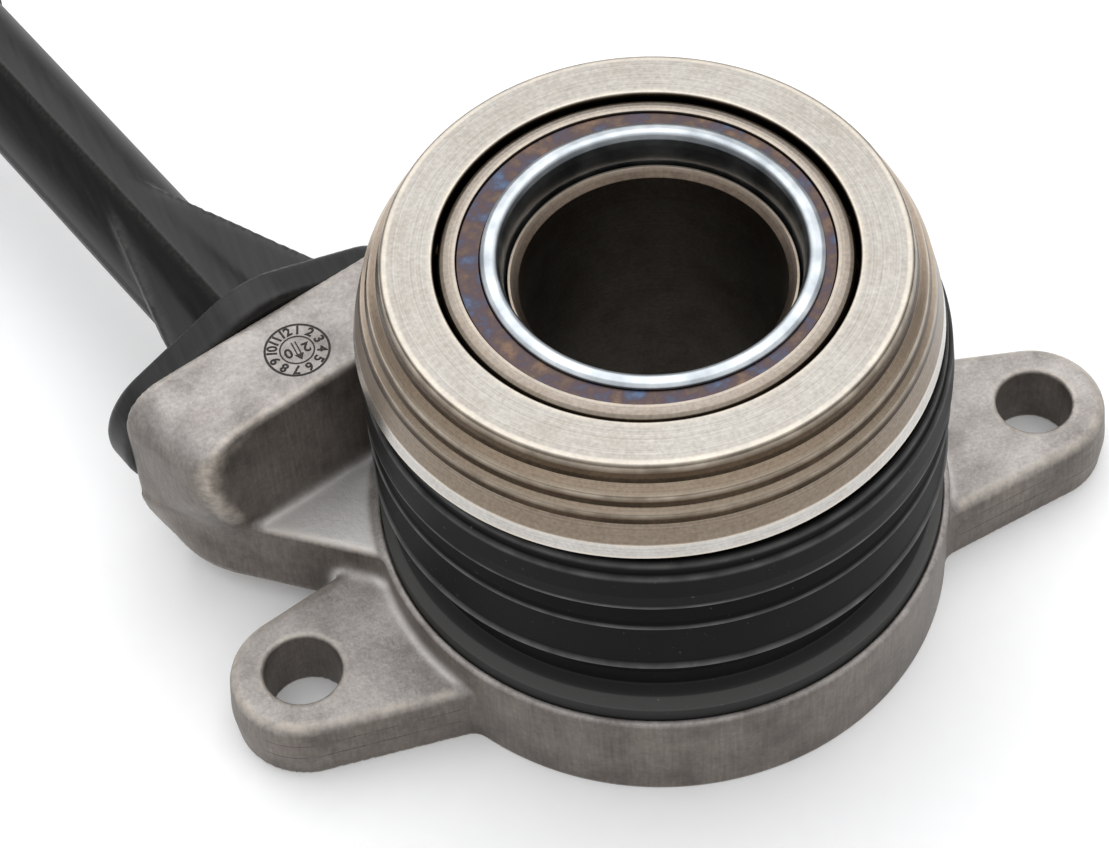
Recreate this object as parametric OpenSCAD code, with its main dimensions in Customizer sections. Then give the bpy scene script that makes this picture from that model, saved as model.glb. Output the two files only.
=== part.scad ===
// Concentric slave cylinder: a hydraulic clutch release cylinder that sits round the gearbox input shaft.
// Z runs along the bore towards the release bearing, and z = 0 is the face that bolts to the gearbox.
// X runs through the two side mounting holes. All sizes are in millimetres.

/* [Housing] */
// Outer radius of the base ring
ring_r = 32; // [31:0.1:34]
// Height of the base ring
ring_h = 12.5; // [11.5:0.1:14]
// Width of the rim round the boot recess
rim_w = 0.8; // [0.6:0.1:1.2]
// Depth of the boot recess below the rim
recess_h = 0.9; // [0.6:0.1:1.5]
// Broken edge of the base ring
ring_edge = 0.6; // [0.3:0.1:1]
// Radius of the cylinder bore
cyl_bore_r = 20; // [19:0.1:20.5]
// Thickness of the cylinder wall
cyl_wall = 3; // [2.4:0.1:3.2]
// Height of the cylinder wall above the base
cyl_h = 30; // [26:0.5:30.5]

/* [Mounting ears] */
// Half the distance between the two side holes
side_hole_x = 44.4; // [43:0.1:48]
// Side holes' offset from the bore axis
side_hole_y = -4.4; // [-8:0.1:0]
// Rear hole's distance from the bore axis
rear_hole_y = 44.6; // [43:0.1:48]
// Radius of the mounting holes, for M8 bolts
ear_hole_r = 4.45; // [3.3:0.05:5.2]
// Chamfer at the mouth of a mounting hole
hole_chamfer = 0.4; // [0.2:0.1:0.8]
// Radius of the rounded end of an ear
ear_r = 7.6; // [6.8:0.1:8.5]
// Thickness of an ear
ear_h = 8.4; // [7:0.1:10]
// Bevel round the top edge of an ear
ear_bevel = 1; // [0.4:0.1:1.5]
// Direction of a side ear's front root corner, in degrees below X
ear_front_deg = 27; // [22:1:34]
// Direction of a side ear's back root corner, in degrees above X
ear_back_deg = 13; // [6:1:16]
// Half the spread of the rear ear at its root, in degrees
rear_ear_deg = 21; // [17:1:26]

/* [Port block] */
// Direction in which the pipe leaves, in degrees from X
port_azimuth = 105; // [100:0.5:112]
// Distance from the bore axis to the flange face of the block
port_face = 35.7; // [35:0.1:39]
// Sideways offset of the port from the bore axis
port_offset = 26.8; // [25:0.1:29]
// Height of the port axis
port_z = 18.5; // [18:0.1:20]
// Top of the tall bar behind the port flange
bar_top = 29; // [28:0.1:30]
// Thickness of the tall bar
bar_t = 11.6; // [11:0.1:12.5]
// Distance of the bar's outer end from the port axis
bar_reach = 19; // [18:0.1:21]
// Underside of the port block
block_base = 3; // [2:0.1:4]
// Corner radius of the port block at the flange
block_corner = 3.6; // [2.6:0.1:4]
// Corner radius of the port block at its front
block_nose_r = 2.4; // [2:0.1:2.8]
// Distance of the block's front corner from its outer end
block_rake = 7.6; // [6.6:0.1:8.5]
// How far the top of the block's outer end leans in
cheek_lean = 5; // [3:0.1:5.4]
// Height of the rounding at the outer end, top and bottom
cheek_round = 5; // [3:0.1:6]
// How far the shelf's outer corner stands out from the bar
shelf_out = 0.5; // [0.3:0.1:0.8]
// Drop of the shelf below the base ring's rim
shelf_drop = 0.1; // [0.05:0.05:0.3]
// Direction of the corner where the shelf's outer wall meets the base ring, in degrees in the port frame
shelf_deg = 157; // [152:1:160]
// Bevel along the top edges of the port block
block_bevel = 1.6; // [1:0.1:2]
// Gap between the boot's rim and the tall bar
bar_gap = 0.4; // [0.3:0.05:0.8]
// Radius of the passage below the port
gallery_r = 2; // [1.8:0.1:2.4]
// Radius of the passage that enters the cylinder
inlet_r = 1.5; // [1.2:0.1:1.6]
// Height of the passage that enters the cylinder
gallery_z = 7; // [6.4:0.1:8]
// Distance from the end of the port's socket to the passage below it
gallery_set = 3; // [2.8:0.1:3.4]

/* [Guide tube] */
// Radius of the bore for the gearbox shaft
tube_bore_r = 13.85; // [13:0.05:14.2]
// Wall of the guide tube
tube_wall = 1.15; // [0.8:0.05:1.2]
// Height of the guide tube above the base
tube_h = 48.4; // [45:0.1:49]
// Radius of the foot flange of the guide tube
tube_foot_r = 24.5; // [24:0.1:26]
// Thickness of the foot flange
tube_foot_t = 2; // [1.6:0.1:2.4]
// Width of the chamfer at the mouth of the tube
tube_mouth = 0.85; // [0.3:0.05:0.9]
// Section radius of the seal under the tube's foot
foot_seal_r = 0.75; // [0.6:0.05:0.8]

/* [Piston] */
// Running clearance of the piston and its seal
run_clear = 0.05; // [0.02:0.01:0.08]
// Length of the piston
piston_len = 16.4; // [16:0.1:17]
// Depth of the waist turned into the piston
piston_waist = 0.9; // [0.8:0.05:1.1]
// Height of a guide land on the piston
piston_land = 5; // [4:0.1:5.2]
// Height of the stop ring in the cylinder's mouth
stop_t = 1.2; // [0.8:0.1:1.2]
// Depth of the stop ring's groove in the cylinder wall
stop_groove = 1; // [0.7:0.1:1.2]
// Gap between the stop ring and the piston's waist
stop_gap = 0.35; // [0.3:0.05:0.4]
// Height of the lip seal under the piston
seal_h = 3.6; // [3:0.1:4]
// Depth of the groove between the seal's lips
seal_groove = 2; // [1.4:0.1:2.4]
// Thickness of the backing ring above the seal
backing_t = 0.8; // [0.5:0.1:1]
// Height of the carrier plate above the base, at rest
carrier_z = 38.9; // [38.5:0.1:41]

/* [Bearing carrier] */
// Thickness of the sheet metal of the carrier
carrier_t = 0.8; // [0.6:0.05:1]
// Clearance of the carrier's neck round the guide tube
neck_clear = 0.35; // [0.3:0.05:0.5]
// Wall of the carrier's neck
neck_wall = 0.65; // [0.5:0.05:0.7]
// Outer radius of the carrier plate
plate_r = 29.3; // [29:0.1:29.5]
// Outer radius of the rolled lip
lip_r = 17.65; // [17.5:0.05:17.9]
// Height of the lip's underside above the carrier plate
lip_rise = 12; // [11.8:0.1:12.1]
// Thickness of the rolled lip at its edge
lip_t = 0.45; // [0.3:0.05:0.5]
// Height of the rolled crown above the lip's edge
lip_crown = 0.2; // [0.1:0.05:0.3]

/* [Release bearing] */
// Total height of the bearing
bearing_h = 12.5; // [12.3:0.1:13]
// Outer radius of the thrust face
face_r = 27; // [26.5:0.1:27.5]
// Inner radius of the thrust face
face_bore_r = 21.8; // [21.6:0.1:22]
// Radius of the turned band, upper edge
band_r_top = 30.4; // [30.2:0.1:30.5]
// Radius of the turned band, lower edge
band_r_low = 30.8; // [30.6:0.1:31]
// Height of the turned band
band_h = 2.5; // [2:0.1:3]
// Height of the outer ring
outer_h = 10.7; // [10.5:0.1:11]
// Radius of the circle through the ball centres
ball_circle_r = 24.2; // [24.1:0.05:24.4]
// Radius of a ball
ball_r = 2.4; // [2.2:0.05:2.4]
// Number of balls
ball_count = 20; // [14:1:20]
// Depth of the ball centres below the thrust face
ball_depth = 5.8; // [5.6:0.1:6]
// Clearance between a ball and its raceways
race_clear = 0.05; // [0.02:0.01:0.08]
// Clearance between a ball and its cage pocket
pocket_clear = 0.1; // [0.05:0.01:0.15]
// Radial wall of the ball cage
cage_wall = 0.95; // [0.8:0.05:1]
// Gap between the cage and the inner ring's shoulder
cage_gap = 0.45; // [0.4:0.05:0.5]
// Height of the cage's closed rim under the balls
cage_rim = 0.9; // [0.6:0.05:1]
// Height of the ball cage
cage_h = 4.6; // [4:0.1:4.8]
// Bore radius of the inner ring
inner_bore_r = 17.5; // [17.3:0.05:17.6]
// Radius of the inner ring's upper land
inner_land_r = 21.3; // [21.1:0.05:21.4]
// Radius of the inner ring's lower shoulder
inner_shoulder_r = 24; // [23.7:0.1:24.1]
// Drop of the inner ring's crown below the thrust face
inner_drop = 0.25; // [0.1:0.05:0.4]
// Height of the inner ring's upper land above the ball centres
land_rise = 1.5; // [1.3:0.1:1.8]
// Unit step of the turned shoulders on the outer ring
ring_step = 0.25; // [0.2:0.01:0.26]
// Depth of the cove below the thrust face
cove_drop = 2; // [1.6:0.1:2.2]
// Depth of the rounded fold below the thrust face
fold_drop = 3.25; // [3:0.05:3.5]
// Depth of the dark groove below the thrust face
groove_drop = 4.5; // [4.3:0.05:4.7]
// Depth of the lower shoulder below the thrust face
shoulder_drop = 5; // [4.8:0.05:5.4]
// Radius of the seat for the bearing's lower seal
shield_seat_r = 29.4; // [29:0.1:29.5]
// Thickness of the bearing's lower seal
shield_t = 1; // [0.8:0.1:1.2]
// Gap between the lower seal and the inner ring
shield_gap = 0.35; // [0.3:0.05:0.5]
// Outer radius of the centring spring washer
washer_r = 19.39; // [19.2:0.05:19.4]
// Gap between the centring washer and the inner ring's rim
washer_gap = 0.25; // [0.1:0.05:0.3]
// Thickness of the centring spring washer
washer_t = 0.85; // [0.7:0.05:0.9]
// Thickness of the slip washer under the inner ring
slip_t = 0.6; // [0.4:0.05:0.7]
// Largest sideways travel of the bearing, each way along X and along Y
float_travel = 0.65; // [0.5:0.05:0.65]
// Sideways rest offset of the self-centring bearing along X
float_x = -0.61; // [-0.64:0.01:0.5]
// Sideways rest offset of the self-centring bearing along Y
float_y = 0.25; // [-0.5:0.01:0.6]
// Flat sliding clearance of the self-centring bearing
slide_gap = 0.02; // [0.01:0.01:0.04]

/* [Boot and spring] */
// Outer radius of the boot's ridges
ridge_r = 31.3; // [31.2:0.05:31.5]
// Depth of the undercut below a ridge
ridge_cut = 1.2; // [0.8:0.05:1.3]
// Height of the lowest ridge
ridge_1_z = 22.6; // [22:0.1:23.2]
// Height of the middle ridge
ridge_2_z = 29.7; // [29.2:0.1:30.2]
// Height of the upper ridge
ridge_3_z = 33.5; // [33:0.1:34]
// Outer radius of the waist above the boot's foot
waist_r = 28.35; // [28.2:0.05:28.6]
// Wall of the boot
boot_wall = 1.25; // [1:0.05:1.3]
// Height of the rounding at a fold of the boot
fold_round = 0.9; // [0.7:0.05:1]
// Height of the boot's foot bead
foot_h = 4; // [3.5:0.1:4.4]
// Height of the boot's top bead over the carrier plate
top_bead = 0.6; // [0.4:0.05:0.7]
// Depth to which the top bead grips the carrier plate
bead_grip = 1.25; // [1:0.05:1.4]
// Clearance of soft parts in their seats
soft_clear = 0.05; // [0.03:0.01:0.1]
// Radius of the spring wire
wire_r = 1; // [0.8:0.05:1.05]
// Mean radius of the preload spring
spring_r = 25.2; // [25:0.05:25.4]
// Turns of the preload spring
spring_turns = 6; // [5:1:6]
// Gap between the closed end turns of the spring
end_gap = 0.12; // [0.1:0.01:0.2]
// Gap between the spring and the boot retainer's collar
collar_gap = 0.4; // [0.3:0.05:0.5]
// Thickness of the boot retainer's sheet metal
retainer_t = 0.8; // [0.6:0.05:0.9]
// Height of the boot retainer's collar
retainer_h = 3; // [2:0.1:3.4]

/* [Pipe adaptor] */
// Thickness of the flange
flange_t = 4.5; // [4:0.1:5]
// Radius of the flange round the pipe
flange_r = 13.4; // [12.6:0.1:13.6]
// Radius of a flange lobe
lobe_r = 7.6; // [7:0.1:8]
// Distance from the pipe axis to a flange screw
screw_x = 12; // [11.5:0.1:12.4]
// Outer radius of the pipe
pipe_r = 6.2; // [5.8:0.1:6.6]
// Radius of the bore through the pipe
pipe_bore_r = 2; // [1.5:0.1:2.5]
// Length of the pipe from the flange face of the block to its collar
pipe_len = 64; // [60:1:90]
// Height of the gusset plates above the pipe axis
gusset_z = 5.2; // [4.6:0.1:5.4]
// Thickness of a gusset plate
gusset_t = 2; // [1.5:0.1:2.4]
// Length of the gusset plates along the pipe
gusset_len = 22; // [18:0.5:26]
// Reach of the outer gusset plate at the flange
gusset_left = 9.4; // [8.5:0.1:10]
// Reach of the inner gusset plate at the flange
gusset_right = 12; // [10:0.1:12.2]
// Length of the spigot in the port
spigot_len = 8.2; // [7.8:0.1:8.4]
// Radius of the spigot in the port
spigot_r = 6.5; // [6.2:0.1:6.6]
// Section radius of the port seal
port_seal_r = 0.95; // [0.8:0.05:1.1]
// Radius of the collar at the pipe's free end
collar_r = 8.2; // [7.5:0.1:9]
// Length of the collar
collar_len = 4; // [3:0.1:6]
// Radius of the plain spigot at the free end
end_r = 5; // [4.5:0.1:5.5]
// Length of the plain spigot at the free end
end_len = 12; // [10:0.5:16]
// Section radius of the seal at the free end
end_seal_r = 0.95; // [0.8:0.05:1.1]
// Radius of the flange screws' thread
screw_r = 2.5; // [2:0.1:2.6]
// Radius of the flange screws' countersunk heads
screw_head_r = 4.6; // [4:0.1:5]
// Depth to which a flange screw enters the block
screw_grip = 5.4; // [4.5:0.1:5.6]
// Radius of the drive socket in a flange screw
drive_r = 1.75; // [1.4:0.05:2]
// Depth of the drive socket in a flange screw
drive_h = 1.7; // [1.2:0.1:1.9]

/* [Hidden] */
$fn = 96;
eps = 0.01;
soft_fn = 32;
ball_fn = 48;
drive_fn = 6;
arc_step = 10;
spring_steps = 24;
spring_sides = 8;

// Angles over which the ball grooves wrap the balls, seen in section
inner_race = [265, 160];
outer_race = [-25, 115];
race_steps = 16;

// Radii that follow from the fits
tube_r = tube_bore_r + tube_wall;
cyl_r = cyl_bore_r + cyl_wall;
recess_r = ring_r - rim_w;
recess_z = ring_h - recess_h;
root_corner_r = 2 * ear_bevel;
piston_r = cyl_bore_r - run_clear;
piston_bore_r = tube_r + run_clear;
neck_bore_r = tube_r + neck_clear;
neck_r = neck_bore_r + neck_wall;
washer_bore_r = neck_r + float_travel * sqrt(2) + 2 * run_clear;

// Heights of the moving stack at rest
carrier_top = carrier_z + carrier_t;
face_z = carrier_top + bearing_h;
lip_z = carrier_top + lip_rise;
washer_z = lip_z - slide_gap - washer_t;
slip_z = carrier_top + slide_gap;
inner_z = slip_z + slip_t + slide_gap;
inner_top = face_z - inner_drop;
outer_z = face_z - outer_h;
ball_z = face_z - ball_depth;
piston_z = carrier_z - piston_len;
waist_out_r = piston_r - piston_waist;
stop_z = piston_z + piston_land + slide_gap;
backing_z = piston_z - backing_t;
seal_z = backing_z - seal_h;
race_r = ball_r + race_clear;

// Seats of the seals and the boot
foot_seal_mean = (cyl_bore_r + tube_foot_r) / 2;
end_pitch = 2 * wire_r + end_gap;
collar_in_r = spring_r + wire_r + collar_gap;
collar_out_r = collar_in_r + retainer_t;
foot_bore_r = collar_out_r + soft_clear;

// Port frame: x runs along the flange and y runs out along the pipe
block_turn = port_azimuth - 90;
bar_front = port_face - bar_t;
block_outer = -port_offset - bar_reach;
block_inner = -port_offset + bar_reach;
socket_r = spigot_r + soft_clear;
socket_end = port_face - spigot_len - ring_edge;
flange_back = port_face + flange_t;
pipe_end = port_face + pipe_len;
gallery_y = socket_end + gallery_set;
port_seal_y = port_face - spigot_len / 2;
end_tip = pipe_end + collar_len + end_len;
end_seal_y = pipe_end + collar_len + end_len / 2;
end_seal_mean = end_r - end_seal_r - eps;

// Parts of the housing

// A post with a bevelled top, used to draw rounded cast blocks
module post(x, y, r, z0, z1, bevel) {
    translate([x, y, z0]) cylinder(r = r, h = z1 - z0 - bevel, $fn = soft_fn);
    translate([x, y, z0]) cylinder(r = r - bevel, h = z1 - z0, $fn = soft_fn);
}

// A point on the circle inside the base ring where an ear's root corner lies
function root_at(angle) = let (r = recess_r - root_corner_r) [r * cos(angle), r * sin(angle)];

// An ear: a rounded end that spreads to two root corners inside the base ring
module ear(end, angles) {
    hull() {
        post(end[0], end[1], ear_r, 0, ear_h, ear_bevel);
        for (a = angles) post(root_at(a)[0], root_at(a)[1], root_corner_r, 0, ear_h, ear_bevel);
    }
}

module right_ear() {
    ear([side_hole_x, side_hole_y], [-ear_front_deg, ear_back_deg]);
}

module rear_ear() {
    ear([0, rear_hole_y], [90 - rear_ear_deg, 90 + rear_ear_deg]);
}

module ear_hole(p) {
    mouth_r = ear_hole_r + hole_chamfer;
    translate([p[0], p[1], -eps]) cylinder(r = ear_hole_r, h = ear_h + 2 * eps);
    translate([p[0], p[1], ear_h - hole_chamfer])
        cylinder(r1 = ear_hole_r, r2 = mouth_r + eps, h = hole_chamfer + eps);
    translate([p[0], p[1], -eps]) cylinder(r1 = mouth_r + eps, r2 = ear_hole_r, h = hole_chamfer + eps);
}

// The tall bar that carries the port: a rounded cheek at its outer end that leans in towards the top
module port_bar() {
    back_y = port_face - block_nose_r;
    front_y = bar_front + block_nose_r;
    end_x = block_outer + block_corner;
    hull() {
        post(end_x, back_y, block_corner, block_base + cheek_round, bar_top - cheek_round, block_bevel);
        post(end_x + cheek_lean, back_y, block_corner, block_base, bar_top, block_bevel);
        post(block_outer + block_rake, front_y, block_nose_r, block_base, bar_top, block_bevel);
        post(block_inner - block_corner, back_y, block_corner, block_base, bar_top, block_bevel);
        post(-bar_t, front_y, block_nose_r, block_base, bar_top, block_bevel);
    }
}

// The low shelf between the bar, the base ring and the outer wall
module port_shelf() {
    top = ring_h - shelf_drop;
    corner_x = block_outer + block_rake - shelf_out;
    corner_y = bar_front + block_nose_r - shelf_out;
    hull() {
        post(corner_x, corner_y, block_nose_r, block_base, top, block_bevel);
        post(ring_r * cos(shelf_deg), ring_r * sin(shelf_deg), block_nose_r, block_base, top, block_bevel);
        post(-bar_t, bar_front, block_nose_r, block_base, top, block_bevel);
        post(-bar_t, bar_t, block_nose_r, block_base, top, block_bevel);
    }
}

// Everything that is cut out of the port block, in the port frame
module port_cuts() {
    translate([-port_offset, socket_end, port_z]) rotate([-90, 0, 0])
        cylinder(r = socket_r, h = spigot_len + block_corner);
    translate([-port_offset, gallery_y, block_base - eps]) cylinder(r = gallery_r, h = port_z - block_base);
    for (side = [-1, 1])
        translate([-port_offset + side * screw_x, port_face - screw_grip - soft_clear, port_z])
            rotate([-90, 0, 0]) cylinder(r = screw_r + soft_clear, h = screw_grip + block_corner);
}

// The passage that runs from the port's passage to the cylinder
module gallery() {
    gallery_turn = block_turn + atan2(gallery_y, -port_offset);
    gallery_start = cyl_bore_r - cyl_wall / 2;
    gallery_len = norm([gallery_y, port_offset]) - gallery_start;
    rotate([0, 0, gallery_turn]) translate([gallery_start, 0, gallery_z])
        rotate([0, 90, 0]) cylinder(r = inlet_r, h = gallery_len);
}

module base_ring() {
    rotate_extrude() polygon([
        [0, 0], [ring_r - ring_edge, 0], [ring_r, ring_edge],
        [ring_r, ring_h - rim_w / 2], [ring_r - rim_w / 2, ring_h], [0, ring_h]
    ]);
}

module boot_space() {
    rotate_extrude() polygon([
        [cyl_r, recess_z], [recess_r, recess_z], [recess_r, ring_h],
        [ring_r + bar_gap, ring_h], [ring_r + bar_gap, 2 * cyl_h], [cyl_r, 2 * cyl_h]
    ]);
}

module housing() {
    seal_groove_w = 2 * foot_seal_r + 2 * soft_clear;
    color("#8d8780") difference() {
        union() {
            base_ring();
            right_ear();
            mirror([1, 0, 0]) right_ear();
            rear_ear();
            rotate([0, 0, block_turn]) difference() {
                union() {
                    port_bar();
                    port_shelf();
                }
                port_cuts();
                translate([-2 * ring_r, port_face, 0]) cube([3 * ring_r, ring_r, 2 * ring_r]);
            }
            cylinder(r = cyl_r, h = cyl_h);
        }
        boot_space();
        translate([0, 0, -eps]) cylinder(r = cyl_bore_r, h = 2 * cyl_h);
        translate([0, 0, cyl_h - ring_edge])
            cylinder(r1 = cyl_bore_r, r2 = cyl_bore_r + 2 * ring_edge, h = 2 * ring_edge);
        translate([0, 0, -eps]) cylinder(r = tube_foot_r + soft_clear, h = tube_foot_t + eps);
        translate([0, 0, tube_foot_t - eps]) difference() {
            cylinder(r = foot_seal_mean + seal_groove_w / 2, h = seal_groove_w + eps);
            translate([0, 0, -eps])
                cylinder(r = foot_seal_mean - seal_groove_w / 2, h = seal_groove_w + 3 * eps);
        }
        translate([0, 0, stop_z - slide_gap])
            cylinder(r = cyl_bore_r + stop_groove, h = stop_t + 2 * slide_gap);
        ear_hole([-side_hole_x, side_hole_y]);
        ear_hole([side_hole_x, side_hole_y]);
        ear_hole([0, rear_hole_y]);
        gallery();
    }
}

// Fixed parts inside the housing

module guide_tube() {
    color("#a89a86") rotate_extrude() polygon([
        [tube_bore_r, 0], [tube_foot_r, 0], [tube_foot_r, tube_foot_t], [tube_r, tube_foot_t],
        [tube_r, tube_h], [tube_bore_r + tube_mouth, tube_h], [tube_bore_r, tube_h - tube_mouth]
    ]);
}

// A plain ring of round section
module seal_ring(mean_r, section_r) {
    rotate_extrude() translate([mean_r, 0]) circle(r = section_r);
}

module tube_foot_seal() {
    color("#1d1d1f") translate([0, 0, tube_foot_t + foot_seal_r + soft_clear])
        seal_ring(foot_seal_mean, foot_seal_r);
}

module gallery_plug() {
    color("#b8b8ba") rotate([0, 0, block_turn])
        translate([-port_offset, gallery_y, block_base + gallery_r]) sphere(r = gallery_r - eps);
}

// Pipe adaptor

// Diamond flange: the middle circle and two lobes joined by their common tangents
module flange_outline() {
    tilt = asin((flange_r - lobe_r) / screw_x);
    circle(r = flange_r);
    for (side = [-1, 1]) {
        translate([side * screw_x, 0]) circle(r = lobe_r);
        for (up = [-1, 1])
            polygon([
                [0, 0],
                [side * flange_r * sin(tilt), up * flange_r * cos(tilt)],
                [side * (screw_x + lobe_r * sin(tilt)), up * lobe_r * cos(tilt)],
                [side * screw_x, 0]
            ]);
    }
}

// Gusset plates: one flat triangle that narrows from the flange to the pipe
module gussets() {
    translate([0, flange_back - eps, gusset_z - gusset_t]) linear_extrude(height = gusset_t)
        polygon([[-gusset_left, 0], [gusset_right, 0], [pipe_r / 2, gusset_len], [-pipe_r / 2, gusset_len]]);
}

// The pipe's solids, in the port frame with its axis along y
module pipe_profile() {
    groove_r = socket_r - 2 * port_seal_r;
    groove_w = 2 * port_seal_r + 2 * soft_clear;
    end_groove_r = end_seal_mean - end_seal_r - soft_clear;
    end_groove_w = 2 * end_seal_r + 2 * soft_clear;
    spigot_tip = port_face - spigot_len;
    rotate_extrude() polygon([
        [pipe_bore_r, spigot_tip], [spigot_r - ring_edge, spigot_tip], [spigot_r, spigot_tip + ring_edge],
        [spigot_r, port_seal_y - groove_w / 2], [groove_r, port_seal_y - groove_w / 2],
        [groove_r, port_seal_y + groove_w / 2], [spigot_r, port_seal_y + groove_w / 2],
        [spigot_r, port_face], [pipe_r, port_face], [pipe_r, pipe_end],
        [collar_r, pipe_end], [collar_r, pipe_end + collar_len], [end_r, pipe_end + collar_len],
        [end_r, end_seal_y - end_groove_w / 2], [end_groove_r, end_seal_y - end_groove_w / 2],
        [end_groove_r, end_seal_y + end_groove_w / 2], [end_r, end_seal_y + end_groove_w / 2],
        [end_r, end_tip - ring_edge], [end_r - ring_edge, end_tip], [pipe_bore_r, end_tip]
    ]);
}

module in_port_frame() {
    rotate([0, 0, block_turn]) translate([-port_offset, 0, port_z]) children();
}

module pipe_adaptor() {
    color("#1f1f21") in_port_frame() difference() {
        union() {
            rotate([-90, 0, 0]) pipe_profile();
            translate([0, flange_back, 0]) rotate([90, 0, 0])
                linear_extrude(height = flange_t) flange_outline();
            gussets();
        }
        for (side = [-1, 1]) translate([side * screw_x, 0, 0]) screw_space();
        rotate([-90, 0, 0]) cylinder(r = pipe_bore_r, h = end_tip + eps);
    }
}

// Room for a countersunk screw in the flange
module screw_space() {
    sink = screw_head_r - screw_r + 2 * soft_clear;
    translate([0, port_face - eps, 0]) rotate([-90, 0, 0])
        cylinder(r = screw_r + 2 * soft_clear, h = flange_t + 2 * eps);
    translate([0, flange_back - sink, 0]) rotate([-90, 0, 0])
        cylinder(r1 = screw_r + soft_clear, r2 = screw_head_r + 2 * soft_clear, h = sink + eps);
}

module flange_screws() {
    sink = screw_head_r - screw_r;
    color("#77777b") in_port_frame() for (side = [-1, 1])
        translate([side * screw_x, 0, 0]) difference() {
            union() {
                translate([0, port_face - screw_grip, 0]) rotate([-90, 0, 0])
                    cylinder(r = screw_r, h = screw_grip + flange_t - sink);
                translate([0, flange_back - sink - eps, 0]) rotate([-90, 0, 0])
                    cylinder(r1 = screw_r, r2 = screw_head_r, h = sink);
            }
            translate([0, flange_back - drive_h, 0]) rotate([-90, 0, 0])
                cylinder(r = drive_r, h = drive_h + eps, $fn = drive_fn);
        }
}

module port_seal() {
    color("#1d1d1f") in_port_frame() translate([0, port_seal_y, 0]) rotate([90, 0, 0])
        seal_ring(socket_r - port_seal_r - eps, port_seal_r - eps);
}

module pipe_end_seal() {
    color("#1d1d1f") in_port_frame() translate([0, end_seal_y, 0]) rotate([90, 0, 0])
        seal_ring(end_seal_mean, end_seal_r);
}

// Boot and spring

module boot_retainer() {
    color("#8f8f92") rotate_extrude() polygon([
        [cyl_r + soft_clear, recess_z], [collar_out_r, recess_z], [collar_out_r, recess_z + retainer_h],
        [collar_in_r, recess_z + retainer_h], [collar_in_r, recess_z + retainer_t],
        [cyl_r + soft_clear, recess_z + retainer_t]
    ]);
}

// A fold of the bellows in section: a sharp ridge, its shoulder and the undercut below the next ridge
function fold_outside(low, high) = [
    [ridge_r, low], [ridge_r - fold_round / 2, low + fold_round], [ridge_r - ridge_cut, high - fold_round]
];

// The bellows in section: foot bead, waist, two folds, a plain band and a bead that grips the carrier plate
module boot_section() {
    foot_r = recess_r - soft_clear;
    foot_top = recess_z + foot_h;
    foot_w = foot_r - foot_bore_r;
    waist_in = waist_r - boot_wall;
    waist_z = foot_top + boot_wall;
    waist_top = ridge_1_z - 2 * boot_wall;
    cut_in = ridge_r - ridge_cut - boot_wall;
    ridge_in = cut_in + boot_wall / 2;
    lip_out = ridge_r - fold_round;
    lip_in = plate_r - bead_grip;
    top_z = carrier_top + top_bead;
    slot_r = plate_r + soft_clear;
    slot_low = carrier_z - soft_clear;
    slot_high = carrier_top + soft_clear;
    foot = [
        [foot_bore_r, recess_z], [foot_r, recess_z], [foot_r, foot_top - boot_wall],
        [foot_r - foot_w / 3, foot_top], [waist_r + boot_wall / 2, foot_top + boot_wall / 3],
        [waist_r, waist_z], [waist_r, waist_top]
    ];
    band = [
        [ridge_r, ridge_3_z], [ridge_r, ridge_3_z + 2 * fold_round],
        [ridge_r - fold_round / 4, carrier_z - fold_round], [lip_out, carrier_z - fold_round / 2],
        [lip_out, top_z - fold_round / 2], [lip_out - fold_round / 2, top_z]
    ];
    bead = [
        [lip_in, top_z], [lip_in, slot_high], [slot_r, slot_high], [slot_r, slot_low], [lip_in, slot_low]
    ];
    inside = [
        [cut_in, carrier_z - boot_wall], [ridge_in, ridge_3_z + fold_round],
        [cut_in, ridge_3_z - 2 * fold_round], [ridge_in, ridge_2_z + fold_round],
        [cut_in, ridge_2_z - 2 * fold_round], [ridge_in, ridge_1_z + fold_round],
        [waist_in, waist_top], [waist_in, waist_z], [foot_bore_r, foot_top - fold_round]
    ];
    polygon(concat(
        foot, fold_outside(ridge_1_z, ridge_2_z), fold_outside(ridge_2_z, ridge_3_z), band, bead, inside
    ));
}

module dust_boot() {
    color("#232325") rotate_extrude() boot_section();
}

// Centre height of the wire after a given number of turns: the end turns lie close and the rest open out
function spring_height(turn, low, high) =
    let (open = (high - low - 2 * end_pitch) / (spring_turns - 2))
    turn < 1 ? low + end_pitch * turn :
    turn > spring_turns - 1 ? high - end_pitch * (spring_turns - turn) :
    low + end_pitch + open * (turn - 1);

module preload_spring() {
    steps = spring_steps;
    sides = spring_sides;
    rings = steps * spring_turns;
    low = recess_z + retainer_t + wire_r + soft_clear;
    high = carrier_z - wire_r - soft_clear;
    points = [
        for (i = [0:rings]) for (j = [0:sides - 1])
            let (a = 360 * i / steps)
            let (b = 360 * (j + 0.5) / sides)
            let (r = spring_r + wire_r * cos(b))
            [r * cos(a), r * sin(a), spring_height(i / steps, low, high) + wire_r * sin(b)]
    ];
    walls = [
        for (i = [0:rings - 1]) for (j = [0:sides - 1])
            let (k = (j + 1) % sides)
            [i * sides + j, i * sides + k, (i + 1) * sides + k, (i + 1) * sides + j]
    ];
    start = [for (j = [0:sides - 1]) sides - 1 - j];
    stop = [for (j = [0:sides - 1]) rings * sides + j];
    color("#6f7377") polyhedron(points, concat([start], walls, [stop]));
}

// Piston and its seal

module piston() {
    color("#3b3b3d") rotate_extrude() polygon([
        [piston_bore_r, piston_z], [piston_r, piston_z], [piston_r, piston_z + piston_land],
        [waist_out_r, piston_z + piston_land], [waist_out_r, carrier_z], [piston_bore_r, carrier_z]
    ]);
}

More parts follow.
